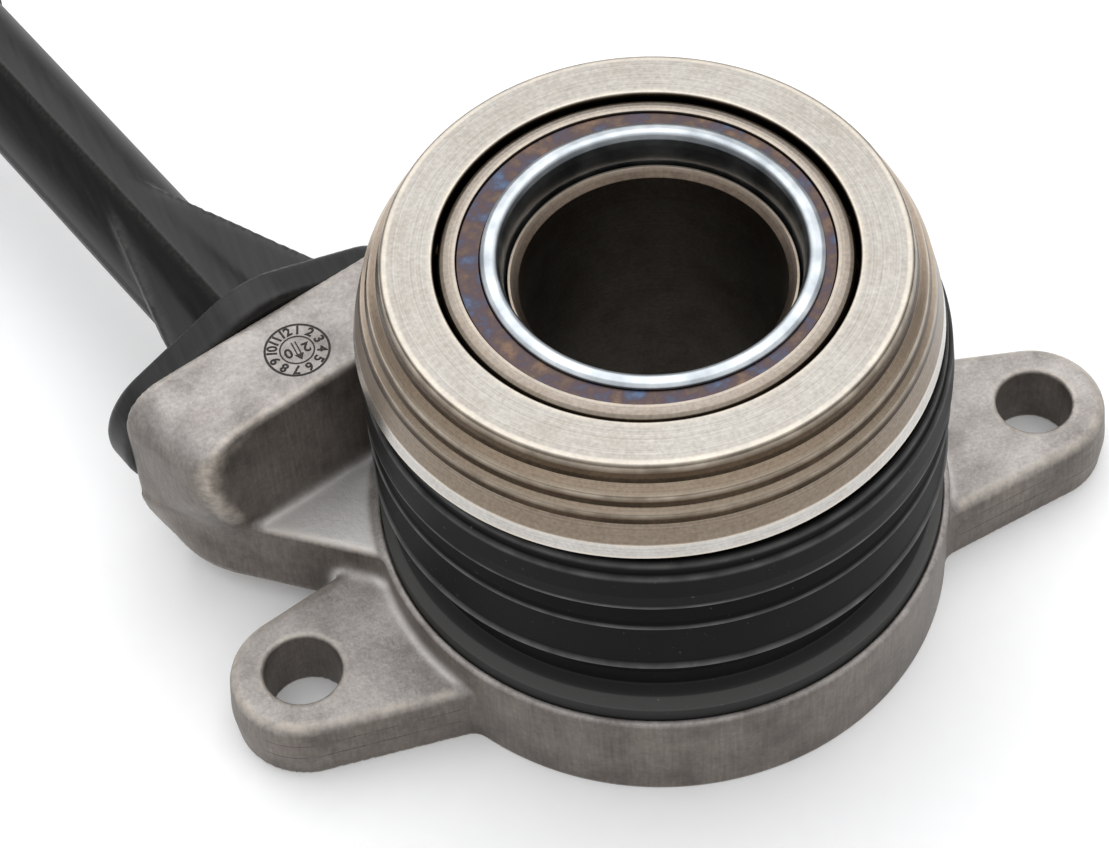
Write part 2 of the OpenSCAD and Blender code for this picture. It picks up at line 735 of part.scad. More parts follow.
// Snap ring in the cylinder's mouth that ends the piston's outward stroke
module stop_ring() {
    color("#5a5b5e") translate([0, 0, stop_z]) difference() {
        cylinder(r = cyl_bore_r + stop_groove - soft_clear, h = stop_t);
        translate([0, 0, -eps]) cylinder(r = waist_out_r + stop_gap, h = stop_t + 2 * eps);
    }
}

module seal_backing_ring() {
    color("#c9c3b4") rotate_extrude() polygon([
        [piston_bore_r, backing_z], [piston_r, backing_z], [piston_r, piston_z], [piston_bore_r, piston_z]
    ]);
}

module piston_seal() {
    middle = (piston_bore_r + piston_r) / 2;
    lip_w = (piston_r - piston_bore_r) / 4;
    color("#1d1d1f") rotate_extrude() polygon([
        [piston_bore_r, seal_z], [piston_bore_r + lip_w, seal_z], [middle, seal_z + seal_groove],
        [piston_r - lip_w, seal_z], [piston_r, seal_z], [piston_r, backing_z], [piston_bore_r, backing_z]
    ]);
}

// Bearing carrier: a plate, a neck round the guide tube and a lip rolled outwards over the washer
module bearing_carrier() {
    lip_top = lip_z + lip_t;
    crown = lip_top + lip_crown;
    crown_r = (neck_bore_r + lip_r) / 2;
    bend = crown_r - neck_bore_r;
    color("#c3c8cc") rotate_extrude() polygon(concat(
        [[neck_bore_r, carrier_z], [plate_r, carrier_z], [plate_r, carrier_top], [neck_r, carrier_top],
            [neck_r, lip_z], [lip_r, lip_z], [lip_r, lip_top]],
        [for (a = [90:arc_step:180]) [crown_r + bend * cos(a), crown - bend + bend * sin(a)]]
    ));
}

// Release bearing, built on its own axis and set at its self-centred offset
module on_bearing_axis() {
    translate([float_x, float_y, 0]) children();
}

module centring_washer() {
    color("#5d4a4c") on_bearing_axis() translate([0, 0, washer_z]) difference() {
        cylinder(r = washer_r, h = washer_t);
        translate([0, 0, -eps]) cylinder(r = washer_bore_r, h = washer_t + 2 * eps);
    }
}

module slip_washer() {
    color("#d8d2c2") on_bearing_axis() translate([0, 0, slip_z]) difference() {
        cylinder(r = inner_shoulder_r - ring_edge, h = slip_t);
        translate([0, 0, -eps]) cylinder(r = inner_bore_r, h = slip_t + 2 * eps);
    }
}

// Points on the ball groove, seen in section, between two angles
function race_arc(span) = [
    for (i = [0:race_steps])
        let (a = span[0] + (span[1] - span[0]) * i / race_steps)
        [ball_circle_r + race_r * cos(a), ball_z + race_r * sin(a)]
];

module bearing_inner_ring() {
    crown_in = washer_r + washer_gap;
    crown_r = inner_land_r - crown_in - slide_gap;
    seat_z = washer_z - slide_gap;
    color("#8a7c6b") on_bearing_axis() rotate_extrude() polygon(concat(
        [[inner_bore_r, inner_z], [inner_shoulder_r - ring_edge, inner_z],
            [inner_shoulder_r, inner_z + ring_edge], [inner_shoulder_r, ball_z - race_r]],
        race_arc(inner_race),
        [[inner_land_r, ball_z + land_rise]],
        [for (a = [0:arc_step:90]) [
            inner_land_r - crown_r + crown_r * cos(a), inner_top - crown_r + crown_r * sin(a)]],
        [[crown_in, inner_top - slide_gap], [crown_in, seat_z], [inner_bore_r, seat_z]]
    ));
}

// The outer ring turns with the clutch: thrust face, two stepped shoulders and a turned band
module bearing_outer_ring() {
    fold_r = (face_r + band_r_top) / 2 + ring_step;
    seat_z = outer_z + shield_t + 2 * ring_step;
    face = [
        [face_bore_r + ring_step, face_z], [face_r - ring_step, face_z], [face_r, face_z - ring_step]
    ];
    shoulders = [
        [face_r + ring_step, face_z - cove_drop / 3], [face_r + 2 * ring_step, face_z - cove_drop],
        [fold_r, face_z - fold_drop], [fold_r + ring_step, face_z - fold_drop - 2 * ring_step],
        [fold_r + ring_step, face_z - groove_drop], [fold_r + 3 * ring_step, face_z - shoulder_drop]
    ];
    band = [
        [band_r_top, outer_z + band_h], [band_r_low, outer_z + ring_step], [band_r_low - ring_step, outer_z],
        [shield_seat_r, outer_z], [shield_seat_r, seat_z], [shield_seat_r - 4 * ring_step, seat_z]
    ];
    bore = [[face_bore_r, ball_z + race_r + 3 * ring_step], [face_bore_r, face_z - ring_step]];
    color("#b3aa9c") on_bearing_axis() rotate_extrude()
        polygon(concat(face, shoulders, band, race_arc(outer_race), bore));
}

module bearing_shield() {
    lip = inner_shoulder_r + shield_gap;
    color("#2a2a2c") on_bearing_axis() translate([0, 0, outer_z + ring_step]) difference() {
        cylinder(r = shield_seat_r - race_clear, h = shield_t);
        translate([0, 0, -eps]) cylinder(r = lip, h = shield_t + 2 * eps);
    }
}

module ball_ring(r) {
    for (i = [0:ball_count - 1])
        rotate([0, 0, 360 * i / ball_count]) translate([ball_circle_r, 0, ball_z])
            sphere(r = r, $fn = ball_fn);
}

module bearing_balls() {
    color("#d5d7d9") on_bearing_axis() ball_ring(ball_r);
}

module ball_cage() {
    cage_bore_r = inner_shoulder_r + cage_gap;
    color("#4a3f33") on_bearing_axis() difference() {
        translate([0, 0, ball_z - ball_r - pocket_clear - cage_rim]) difference() {
            cylinder(r = cage_bore_r + cage_wall, h = cage_h);
            translate([0, 0, -eps]) cylinder(r = cage_bore_r, h = cage_h + 2 * eps);
        }
        ball_ring(ball_r + pocket_clear);
    }
}

housing();
guide_tube();
tube_foot_seal();
gallery_plug();
pipe_adaptor();
port_seal();
pipe_end_seal();
flange_screws();
boot_retainer();
dust_boot();
preload_spring();
stop_ring();
piston();
piston_seal();
seal_backing_ring();
bearing_carrier();
slip_washer();
centring_washer();
bearing_inner_ring();
bearing_outer_ring();
bearing_shield();
bearing_balls();
ball_cage();
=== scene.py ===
"""Looks of a concentric slave cylinder: a cast base, a rubber boot, a release bearing and a moulded fluid pipe.

Sizes are in millimetres, in the part's own frame: Z runs up the bore and X runs through the two side bolt holes.
Each class below holds one sub-assembly, works out its surfaces with numpy and dresses them.
"""

import logging
import math
from collections.abc import Callable
from dataclasses import dataclass, field
from enum import Enum
from typing import Any

import bpy
import numpy as np
from mathutils import Matrix


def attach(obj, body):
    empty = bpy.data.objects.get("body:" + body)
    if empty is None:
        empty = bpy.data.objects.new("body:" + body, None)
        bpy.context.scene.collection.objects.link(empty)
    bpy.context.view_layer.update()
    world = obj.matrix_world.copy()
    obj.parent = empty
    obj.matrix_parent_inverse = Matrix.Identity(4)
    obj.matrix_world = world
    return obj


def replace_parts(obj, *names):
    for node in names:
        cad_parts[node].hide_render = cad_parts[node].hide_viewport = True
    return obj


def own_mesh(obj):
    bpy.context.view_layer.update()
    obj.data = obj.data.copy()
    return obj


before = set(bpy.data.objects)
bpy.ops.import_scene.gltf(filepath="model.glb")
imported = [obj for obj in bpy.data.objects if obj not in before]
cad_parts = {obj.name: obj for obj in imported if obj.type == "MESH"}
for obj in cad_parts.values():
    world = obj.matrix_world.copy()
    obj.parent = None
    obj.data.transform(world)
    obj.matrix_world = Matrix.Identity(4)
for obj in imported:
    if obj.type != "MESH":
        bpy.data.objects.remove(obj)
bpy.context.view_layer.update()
LOG = logging.getLogger("slave_cylinder")
MM = 0.001
PORT_TURN = math.radians(15.0)
PORT_OFFSET = 26.8
PORT_Z = 18.5
BEARING_OFFSET = (-0.61, 0.25)


class Body(str, Enum):
    """Moving bodies of the part that a piece can ride on."""

    HOUSING = "housing_body"
    PISTON = "piston_body"
    INNER = "inner_body"
    OUTER = "outer_body"


def linear(code: str) -> tuple[float, float, float, float]:
    """Turns an sRGB hex colour to linear light.

    Args:
        code: Colour such as "#a09a91".

    Returns:
        Linear red, green and blue, and an alpha of 1.
    """
    parts = [int(code[i:i + 2], 16) / 255.0 for i in (1, 3, 5)]
    red, green, blue = (c / 12.92 if c <= 0.04045 else ((c + 0.055) / 1.055) ** 2.4 for c in parts)
    return red, green, blue, 1.0


@dataclass
class Wiring:
    """A node tree being wired: one method adds any node, sets it, links it and hands back one of its outputs."""

    tree: bpy.types.NodeTree

    def add(self, kind: str, inputs: dict[str | int, Any] | None = None, out: str | int = 0,
            **settings: Any) -> bpy.types.NodeSocket | None:
        """Adds a node with its settings, constants and links.

        Args:
            kind: Blender's node type, without its leading "ShaderNode".
            inputs: Socket name or index to a constant or to an output socket.
            out: Name or index of the output to hand back.
            **settings: Node properties; "stops" fills a colour ramp with (position, hex colour) pairs.

        Returns:
            The chosen output, or None from a node that has no outputs.
        """
        node = self.tree.nodes.new("ShaderNode" + kind)
        for position, (key, value) in enumerate(settings.pop("stops", [])):
            ramp = node.color_ramp.elements
            stop = ramp[position] if position < len(ramp) else ramp.new(key)
            stop.position, stop.color = key, linear(value)
        for key, value in settings.items():
            setattr(node, key, value)
        for key, value in (inputs or {}).items():
            if isinstance(value, bpy.types.NodeSocket):
                self.tree.links.new(value, node.inputs[key])
            else:
                node.inputs[key].default_value = value
        return node.outputs[out] if node.outputs else None


class Shader(Wiring):
    """A material's node tree, with the piece's own coordinates at hand."""

    def __init__(self, name: str) -> None:
        """Starts an empty material.

        Args:
            name: Name of the material.
        """
        self.material = bpy.data.materials.new(name)
        self.material.use_nodes = True
        super().__init__(self.material.node_tree)
        self.tree.nodes.clear()
        self.place = self.add("TexCoord", out="Object")

    def surface(self, inputs: dict[str, Any]) -> bpy.types.Material:
        """Ends the tree in one principled shader.

        Args:
            inputs: The shader's sockets, each with a constant or an output socket.

        Returns:
            The finished material.
        """
        self.add("OutputMaterial", {"Surface": self.add("BsdfPrincipled", inputs, "BSDF")})
        return self.material


@dataclass(frozen=True)
class CastAluminium:
    """Die-cast aluminium, tumbled: warm grey, mottled by the mould skin, rubbed bright on edges, with painted
    highlights on the edges, in fillets and on the shelf, and painted shade on upright walls.
    """

    name: str = "cast_aluminium"
    skin: str = "#9c9692"
    dull: str = "#7b7571"
    light: str = "#b4aeaa"
    # painted shade: this tint is multiplied into the upright walls
    drawn: str = "#b2aca5"
    # colour of the rubbed edges, whose pale line also paints the edges' highlight
    rubbed: str = "#d3c8ba"
    # painted highlight for the concave fillets and the shelf
    burnished: str = "#ece9e6"
    patch_mm: float = 6.0  # clouds in the mould skin
    grain_mm: float = 0.6  # pits left by tumbling
    streak_mm: float = 0.35  # draw scratches, measured across
    rub_mm: float = 1.1  # breaks in the rubbed edges
    seams: tuple[float, float] = (3.6, 5.6)  # heights of the lines where the mould's slides met

    def material(self) -> bpy.types.Material:
        """Mixes skin, mottle, draw streaks, painted shade on upright walls, a painted highlight in fillets and on the
        shelf, and rubbed edges that also carry a painted highlight.

        Returns:
            The finished material.
        """
        s = Shader(self.name)
        patch = s.add("TexNoise",
                      {"Vector": s.place, "Scale": 1 / (self.patch_mm * MM), "Detail": 6.0, "Roughness": 0.62})
        tone = s.add("ValToRGB", {"Fac": patch}, stops=[(0.3, self.dull), (0.5, self.skin), (0.72, self.light)])
        # the die draws upwards: its scratches run along Z; the upright walls get painted shade, a darker tint
        # multiplied in
        stretch = s.add("Mapping", {"Vector": s.place, "Scale": (1.0, 1.0, 0.08)})
        streak = s.add("TexNoise", {"Vector": stretch, "Scale": 1 / (self.streak_mm * MM), "Detail": 3.0})
        wall = s.add("Attribute", attribute_name="wall", out="Fac")
        upright = s.add("MapRange", {"Value": wall, "From Min": 0.25, "From Max": 0.85, "To Max": 1.0})
        drawn = s.add("Mix", {0: upright, 6: tone, 7: linear(self.drawn)}, data_type="RGBA", blend_type="MULTIPLY",
                      out=2)
        grain = s.add("TexNoise",
                      {"Vector": s.place, "Scale": 1 / (self.grain_mm * MM), "Detail": 4.0, "Roughness": 0.7})
        pitted = s.add("Mix", {0: 0.5, 6: drawn, 7: grain}, data_type="RGBA", blend_type="SOFT_LIGHT", out=2)
        streaked = s.add("Mix", {0: 0.45, 6: pitted, 7: streak}, data_type="RGBA", blend_type="SOFT_LIGHT", out=2)
        # painted highlight: the concave fillets and the shelf, marked on the mesh, are mixed towards a near-white
        hollow = s.add("Attribute", attribute_name="hollow", out="Fac")
        highlight_share = s.add("Math", {0: hollow, 1: 0.8}, operation="MULTIPLY")
        fillet = s.add("Mix", {0: highlight_share, 6: streaked, 7: linear(self.burnished)}, data_type="RGBA", out=2)
        # rubbed edges broken by noise; the pale line also stands in for the edges' highlight
        wear = s.add("Attribute", attribute_name="wear", out="Fac")
        rub_noise = s.add("TexNoise", {"Vector": s.place, "Scale": 1 / (self.rub_mm * MM), "Detail": 4.0})
        broken = s.add("Math", {0: wear, 1: rub_noise}, operation="MULTIPLY")
        rub = s.add("MapRange", {"Value": broken, "From Min": 0.1, "From Max": 0.5, "To Max": 0.7})
        colour = s.add("Mix", {0: rub, 6: fillet, 7: linear(self.rubbed)}, data_type="RGBA", out=2)
        # where the mould's slides met, the ears' sides carry two thin broken lines
        level = s.add("SeparateXYZ", {"Vector": s.place}, out="Z")
        lower = s.add("Math", {0: level, 1: self.seams[0] * MM, 2: 0.08 * MM}, operation="COMPARE")
        upper = s.add("Math", {0: level, 1: self.seams[1] * MM, 2: 0.06 * MM}, operation="COMPARE")
        both = s.add("Math", {0: lower, 1: upper}, operation="ADD")
        seam = s.add("Attribute", attribute_name="seam", out="Fac")
        on_ears = s.add("Math", {0: both, 1: seam}, operation="MULTIPLY")
        thin = s.add("MapRange", {"Value": patch, "From Min": 0.4, "From Max": 0.5, "To Max": 0.65})
        line = s.add("Math", {0: on_ears, 1: thin}, operation="MULTIPLY")
        seamed = s.add("Mix", {0: line, 6: colour, 7: linear("#2c2825")}, data_type="RGBA", out=2)
        bump = s.add("Bump", {"Height": grain, "Strength": 0.6, "Distance": 0.1 * MM})
        rough = s.add("MapRange", {"Value": patch, "To Min": 0.36, "To Max": 0.54})
        return s.surface({"Base Color": seamed, "Metallic": 0.4, "Roughness": rough, "Normal": bump})


@dataclass(frozen=True)
class TurnedSteel:
    """Bearing steel, ground and turned: each band has its own tint, with fine turning lines and a warm mottle."""

    name: str = "turned_steel"
    # colour of the bright edges: a painted highlight on the bearing's corners, burrs on the tube's rim
    edge: str = "#e6dac8"
    stain: str = "#6f5e4b"
    stain_share: float = 0.24
    line_mm: float = 0.22  # feed of the turning tool
    line_depth: float = 0.6
    speck_mm: float = 0.4  # specks of oxide
    stain_mm: float = 5.0  # stains from oil and handling
    nick_mm: float = 2.5  # breaks in the bright edges

    def material(self) -> bpy.types.Material:
        """Reads the band tint and roughness kept on the mesh and adds lines, stains and bright edges (a painted
        highlight on the bearing, burrs on the tube's rim).

        Returns:
            The finished material.
        """
        s = Shader(self.name)
        tint = s.add("Attribute", attribute_name="tint", out="Color")
        rough = s.add("Attribute", attribute_name="rough", out="Fac")
        along = s.add("Attribute", attribute_name="along", out="Fac")
        wear = s.add("Attribute", attribute_name="wear", out="Fac")
        spread = s.add("CombineXYZ", {"X": along})
        lines = s.add("TexNoise", {"Vector": spread, "Scale": 1 / self.line_mm, "Detail": 3.0})
        mottle = s.add("TexNoise",
                       {"Vector": s.place, "Scale": 1 / (self.stain_mm * MM), "Detail": 6.0, "Roughness": 0.65})
        share = s.add("MapRange", {"Value": mottle, "From Min": 0.42, "From Max": 0.75, "To Max": self.stain_share})
        stained = s.add("Mix", {0: share, 6: tint, 7: linear(self.stain)}, data_type="RGBA", out=2)
        lined = s.add("Mix", {0: self.line_depth, 6: stained, 7: lines}, data_type="RGBA", blend_type="SOFT_LIGHT",
                      out=2)
        fine = s.add("TexNoise", {"Vector": s.place, "Scale": 1 / (self.speck_mm * MM), "Detail": 3.0})
        specked = s.add("Mix", {0: 0.45, 6: lined, 7: fine}, data_type="RGBA", blend_type="SOFT_LIGHT", out=2)
        # bright edges broken by noise: a painted highlight on the bearing, burrs on the tube
        nick = s.add("TexNoise", {"Vector": s.place, "Scale": 1 / (self.nick_mm * MM), "Detail": 2.0})
        rub = s.add("Math", {0: wear, 1: nick}, operation="MULTIPLY")
        colour = s.add("Mix", {0: rub, 6: specked, 7: linear(self.edge)}, data_type="RGBA", out=2)
        bump = s.add("Bump", {"Height": lines, "Strength": 0.12, "Distance": 0.03 * MM})
        return s.surface({"Base Color": colour, "Metallic": 1.0, "Roughness": rough, "Normal": bump})


@dataclass(frozen=True)
class TemperedSteel:
    """Spring steel, tempered in air: purple-brown oxide with blue patches and straw flecks."""

    name: str = "tempered_steel"
    heat_mm: float = 2.2  # patches of one temper colour
    fine_mm: float = 0.3  # grain of the ground sheet

    def material(self) -> bpy.types.Material:
        """Sorts one noise into the temper colours, brown through purple to blue.

        Returns:
            The finished material.
        """
        s = Shader(self.name)
        heat = s.add("TexNoise",
                     {"Vector": s.place, "Scale": 1 / (self.heat_mm * MM), "Detail": 4.0, "Roughness": 0.6})
        colour = s.add("ValToRGB", {"Fac": heat},
                       stops=[(0.3, "#665348"), (0.42, "#524641"), (0.52, "#493f43"), (0.6, "#454652"),
                              (0.7, "#4a566b")])
        fine = s.add("TexNoise", {"Vector": s.place, "Scale": 1 / (self.fine_mm * MM), "Detail": 2.0})
        bump = s.add("Bump", {"Height": fine, "Strength": 0.15, "Distance": 0.02 * MM})
        return s.surface({"Base Color": colour, "Metallic": 1.0, "Roughness": 0.33, "Normal": bump})


@dataclass(frozen=True)
class ZincSheet:
    """Pressed sheet steel with a bright zinc coat: bluish white, soft wavy reflections."""

    name: str = "bright_zinc"
    wave_mm: float = 4.0  # ripples of the pressed sheet

    def material(self) -> bpy.types.Material:
        """Adds faint spangle and a wavy surface to a smooth bright metal.

        Returns:
            The finished material.
        """
        s = Shader(self.name)
        wave = s.add("TexNoise", {"Vector": s.place, "Scale": 1 / (self.wave_mm * MM), "Detail": 3.0})
        colour = s.add("ValToRGB", {"Fac": wave}, stops=[(0.35, "#979da2"), (0.7, "#c8cdd1")])
        bump = s.add("Bump", {"Height": wave, "Strength": 0.4, "Distance": 0.15 * MM})
        rough = s.add("MapRange", {"Value": wave, "To Min": 0.24, "To Max": 0.4})
        return s.surface({"Base Color": colour, "Metallic": 1.0, "Roughness": rough, "Normal": bump})


@dataclass(frozen=True)
class MouldedRubber:
    """Moulded nitrile rubber: matt black, dusty in places, with pale flash lines where the mould halves met, which also
    paint the highlight on the ridges' edges.
    """

    name: str = "moulded_rubber"
    black: str = "#0b0b0b"
    bloom: str = "#151515"
    flash: str = "#7d7d7b"
    cloud_mm: float = 9.0  # bloom on the rubber
    speck_mm: float = 0.55  # dust
    gap_mm: float = 3.0  # breaks in the flash lines

    def material(self) -> bpy.types.Material:
        """Lays bloom and specks on black, mixes in the mesh's tint with the bead's painted highlight, and shows flash,
        which also paints the ridges' highlight, where the mesh marks an edge.

        Returns:
            The finished material.
        """
        s = Shader(self.name)
        cloud = s.add("TexNoise", {"Vector": s.place, "Scale": 1 / (self.cloud_mm * MM), "Detail": 5.0})
        mottle = s.add("ValToRGB", {"Fac": cloud}, stops=[(0.35, self.black), (0.8, self.bloom)])
        # tint from the mesh: grey on the foot's bead, with a painted highlight stripe at its widest corner
        tint = s.add("Attribute", attribute_name="tint", out="Color")
        base = s.add("Mix", {0: 0.65, 6: mottle, 7: tint}, data_type="RGBA", out=2)
        speck = s.add("TexNoise", {"Vector": s.place, "Scale": 1 / (self.speck_mm * MM), "Detail": 2.0})
        dust = s.add("MapRange", {"Value": speck, "From Min": 0.7, "From Max": 0.8, "To Max": 0.3})
        dusted = s.add("Mix", {0: dust, 6: base, 7: linear(self.flash)}, data_type="RGBA", out=2)
        # pale flash lines on the ridges' edges, which also paint their highlight
        wear = s.add("Attribute", attribute_name="wear", out="Fac")
        gap = s.add("TexNoise", {"Vector": s.place, "Scale": 1 / (self.gap_mm * MM), "Detail": 3.0})
        line = s.add("Math", {0: wear, 1: gap}, operation="MULTIPLY")
        colour = s.add("Mix", {0: line, 6: dusted, 7: linear(self.flash)}, data_type="RGBA", out=2)
        bump = s.add("Bump", {"Height": speck, "Strength": 0.2, "Distance": 0.04 * MM})
        return s.surface({"Base Color": colour, "Roughness": 0.48, "Specular IOR Level": 0.09, "Normal": bump})


@dataclass(frozen=True)
class FilledPlastic:
    """Glass-filled polyamide, moulded: near-black and semi-gloss, streaked along the pipe, with painted shade and less
    gloss beside its seam.
    """

    name: str = "filled_plastic"
    black: str = "#101010"
    streak: str = "#272726"
    shade: str = "#050505"
    edge: str = "#70706c"
    streak_mm: float = 0.7  # flow streaks, measured across
    fibre_mm: float = 0.5  # glass fibres near the skin

    def material(self) -> bpy.types.Material:
        """Stretches one noise along the pipe for flow streaks, and adds fibres, painted shade on the half beside the
        seam, and thin flash edges that also paint the edges' highlight.

        Returns:
            The finished material.
        """
        s = Shader(self.name)
        turned = s.add("Mapping", {"Vector": s.place, "Rotation": (0.0, 0.0, -PORT_TURN), "Scale": (1.0, 0.05, 1.0)})
        flow = s.add("TexNoise", {"Vector": turned, "Scale": 1 / (self.streak_mm * MM), "Detail": 5.0})
        tone = s.add("ValToRGB", {"Fac": flow}, stops=[(0.35, self.black), (0.8, self.streak)])
        # painted shade: beside the seam the half is darkened towards near-black, and its gloss is lowered below
        dull = s.add("Attribute", attribute_name="dull", out="Fac")
        half = s.add("Mix", {0: dull, 6: tone, 7: linear(self.shade)}, data_type="RGBA", out=2)
        # thin pale edges: flash, also a painted highlight on the sharp edges
        wear = s.add("Attribute", attribute_name="wear", out="Fac")
        fibre = s.add("TexNoise", {"Vector": s.place, "Scale": 1 / (self.fibre_mm * MM), "Detail": 3.0})
        flash = s.add("Math", {0: wear, 1: fibre}, operation="MULTIPLY")
        colour = s.add("Mix", {0: flash, 6: half, 7: linear(self.edge)}, data_type="RGBA", out=2)
        bump = s.add("Bump", {"Height": fibre, "Strength": 0.3, "Distance": 0.05 * MM})
        gloss = s.add("MapRange", {"Value": dull, "To Min": 0.32, "To Max": 0.05})
        rough = s.add("MapRange", {"Value": flow, "To Min": 0.36, "To Max": 0.52})
        return s.surface({"Base Color": colour, "Roughness": rough, "Specular IOR Level": gloss, "Normal": bump})


@dataclass(frozen=True)
class PlainStock:
    """A hidden piece's stock, such as drawn wire, ball steel or bearing plastic: a base with its own fine mottle."""

    name: str
    dark: str
    light: str
    metallic: float
    roughness: float
    grain_mm: float = 0.8  # mottle of the stock

    def material(self) -> bpy.types.Material:
        """Mixes the stock's two tones by a fine noise.

        Returns:
            The finished material.
        """
        s = Shader(self.name)
        grain = s.add("TexNoise", {"Vector": s.place, "Scale": 1 / (self.grain_mm * MM), "Detail": 3.0})
        colour = s.add("ValToRGB", {"Fac": grain}, stops=[(0.35, self.dark), (0.7, self.light)])
        bump = s.add("Bump", {"Height": grain, "Strength": 0.1, "Distance": 0.03 * MM})
        return s.surface({"Base Color": colour, "Metallic": self.metallic, "Roughness": self.roughness,
                          "Normal": bump})


def add_piece(name: str, points: np.ndarray, faces: np.ndarray, material: bpy.types.Material, body: Body,
              layers: dict[str, np.ndarray] | None = None) -> bpy.types.Object:
    """Puts arrays of points and equal-sided faces into a mesh piece that rides on a body.

    Args:
        name: Piece name.
        points: Points in millimetres, one row each.
        faces: Point numbers, one row per face.
        material: Finish of the piece.
        body: Body that carries the piece.
        layers: Point attributes: one number per point, or a colour of four numbers.

    Returns:
        The new object.
    """
    mesh = bpy.data.meshes.new(name)
    sides = faces.shape[1]
    mesh.vertices.add(len(points))
    mesh.vertices.foreach_set("co", np.ascontiguousarray(points * MM, np.float32).ravel())
    mesh.loops.add(faces.size)
    mesh.loops.foreach_set("vertex_index", faces.astype(np.int32).ravel())
    mesh.polygons.add(len(faces))
    mesh.polygons.foreach_set("loop_start", np.arange(0, faces.size, sides, dtype=np.int32))
    mesh.polygons.foreach_set("use_smooth", np.ones(len(faces), bool))
    mesh.update(calc_edges=True)
    for key, values in (layers or {}).items():
        flat = values.ndim == 1
        layer = mesh.attributes.new(key, "FLOAT" if flat else "FLOAT_COLOR", "POINT")
        layer.data.foreach_set("value" if flat else "color", np.ascontiguousarray(values, np.float32).ravel())
    mesh.materials.append(material)
    piece = bpy.data.objects.new(name, mesh)
    bpy.context.scene.collection.objects.link(piece)
    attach(piece, body.value)
    LOG.info("%s: %d points, %d faces", name, len(points), len(faces))
    return piece


@dataclass(frozen=True)
class Corner:
    """A corner of a turned section, with the finish of the band that follows it."""

    r: float
    z: float
    fillet: float = 0.15
    tint: str = "#b9b2a6"
    rough: float = 0.35
    wear: float = 0.0


@dataclass(frozen=True)
class Turning:
    """A closed section turned round an upright axis."""

    corners: list[Corner]
    centre: tuple[float, float] = (0.0, 0.0)
    around: int = 240
    step: float = 0.4

    def section(self) -> dict[str, np.ndarray]:
        """Rounds each corner by a parabola and fills the straight runs with even points.

        Returns:
            Arrays "rz", "tint", "rough", "wear" and "along", the length run so far in millimetres.
        """
        rz, tint, rough, wear = [], [], [], []
        count = len(self.corners)
        ends = []
        for i, corner in enumerate(self.corners):
            here = np.array([corner.r, corner.z])
            back = np.array([self.corners[i - 1].r, self.corners[i - 1].z]) - here
            ahead = np.array([self.corners[(i + 1) % count].r, self.corners[(i + 1) % count].z]) - here
            back_len, ahead_len = np.linalg.norm(back), np.linalg.norm(ahead)
            back, ahead = back / back_len, ahead / ahead_len
            half = 0.5 * math.acos(float(np.clip(back @ ahead, -0.9999, 0.9999)))
            cut = min(corner.fillet / math.tan(half), 0.45 * back_len, 0.45 * ahead_len)
            weights = np.linspace(0.0, 1.0, 7)[:, None]
            start, stop = here + back * cut, here + ahead * cut
            bend = start * (1 - weights) ** 2 + 2 * here * weights * (1 - weights) + stop * weights ** 2
            ends.append((bend, stop))
        for i, corner in enumerate(self.corners):
            before = self.corners[i - 1]
            bend, stop = ends[i]
            mixes = np.linspace(0.0, 1.0, len(bend))
            colour_a, colour_b = np.array(linear(before.tint)), np.array(linear(corner.tint))
            rz.append(bend)
            tint.append(np.where(mixes[:, None] < 0.5, colour_a, colour_b))
            rough.append(np.where(mixes < 0.5, before.rough, corner.rough))
            wear.append(np.full(len(bend), corner.wear))
            goal = ends[(i + 1) % count][0][0]
            steps = max(int(np.linalg.norm(goal - stop) / self.step), 1)
            run = np.linspace(0.0, 1.0, steps + 1)[1:-1][:, None]
            if len(run):
                rz.append(stop * (1 - run) + goal * run)
                tint.append(np.repeat(colour_b[None], len(run), 0))
                rough.append(np.full(len(run), corner.rough))
                wear.append(np.zeros(len(run)))
        points = np.concatenate(rz)
        legs = np.linalg.norm(np.diff(points, axis=0, prepend=points[:1]), axis=1)
        return {"rz": points, "tint": np.concatenate(tint), "rough": np.concatenate(rough),
                "wear": np.concatenate(wear), "along": np.cumsum(legs)}

    def build(self, name: str, material: bpy.types.Material, body: Body, slot: str) -> bpy.types.Object:
        """Turns the section: point (i, j) is section point i carried to angle 2 pi j / around.

        Args:
            name: Piece name.
            material: Finish.
            body: Body that carries the piece.
            slot: The record's material slot; not used.

        Returns:
            The new object.
        """
        s = self.section()
        angle = 2 * np.pi * np.arange(self.around) / self.around
        r, z = s["rz"][:, :1], s["rz"][:, 1:]
        rows = len(r)
        points = np.stack([r * np.cos(angle) + self.centre[0], r * np.sin(angle) + self.centre[1],
                           np.repeat(z, self.around, 1)], -1).reshape(-1, 3)
        i, j = np.meshgrid(np.arange(rows), np.arange(self.around), indexing="ij")
        up, side = (i + 1) % rows, (j + 1) % self.around
        faces = np.stack([i * self.around + j, i * self.around + side, up * self.around + side,
                          up * self.around + j], -1).reshape(-1, 4)
        area = np.sum(s["rz"][:, 0] * np.roll(s["rz"][:, 1], -1) - np.roll(s["rz"][:, 0], -1) * s["rz"][:, 1])
        if area < 0:
            faces = faces[:, ::-1]
        layers = {key: np.repeat(s[key], self.around, 0) for key in ("tint", "rough", "wear", "along")}
        return add_piece(name, points, faces, material, body, layers)


Field = Callable[[np.ndarray, np.ndarray, np.ndarray], np.ndarray]


def soft_join(a: np.ndarray, b: np.ndarray, k: np.ndarray | float) -> np.ndarray:
    """Joins two distance fields with a fillet of about k millimetres (a polynomial smooth minimum)."""
    h = np.clip(0.5 + 0.5 * (b - a) / k, 0.0, 1.0)
    return b * (1 - h) + a * h - k * h * (1 - h)


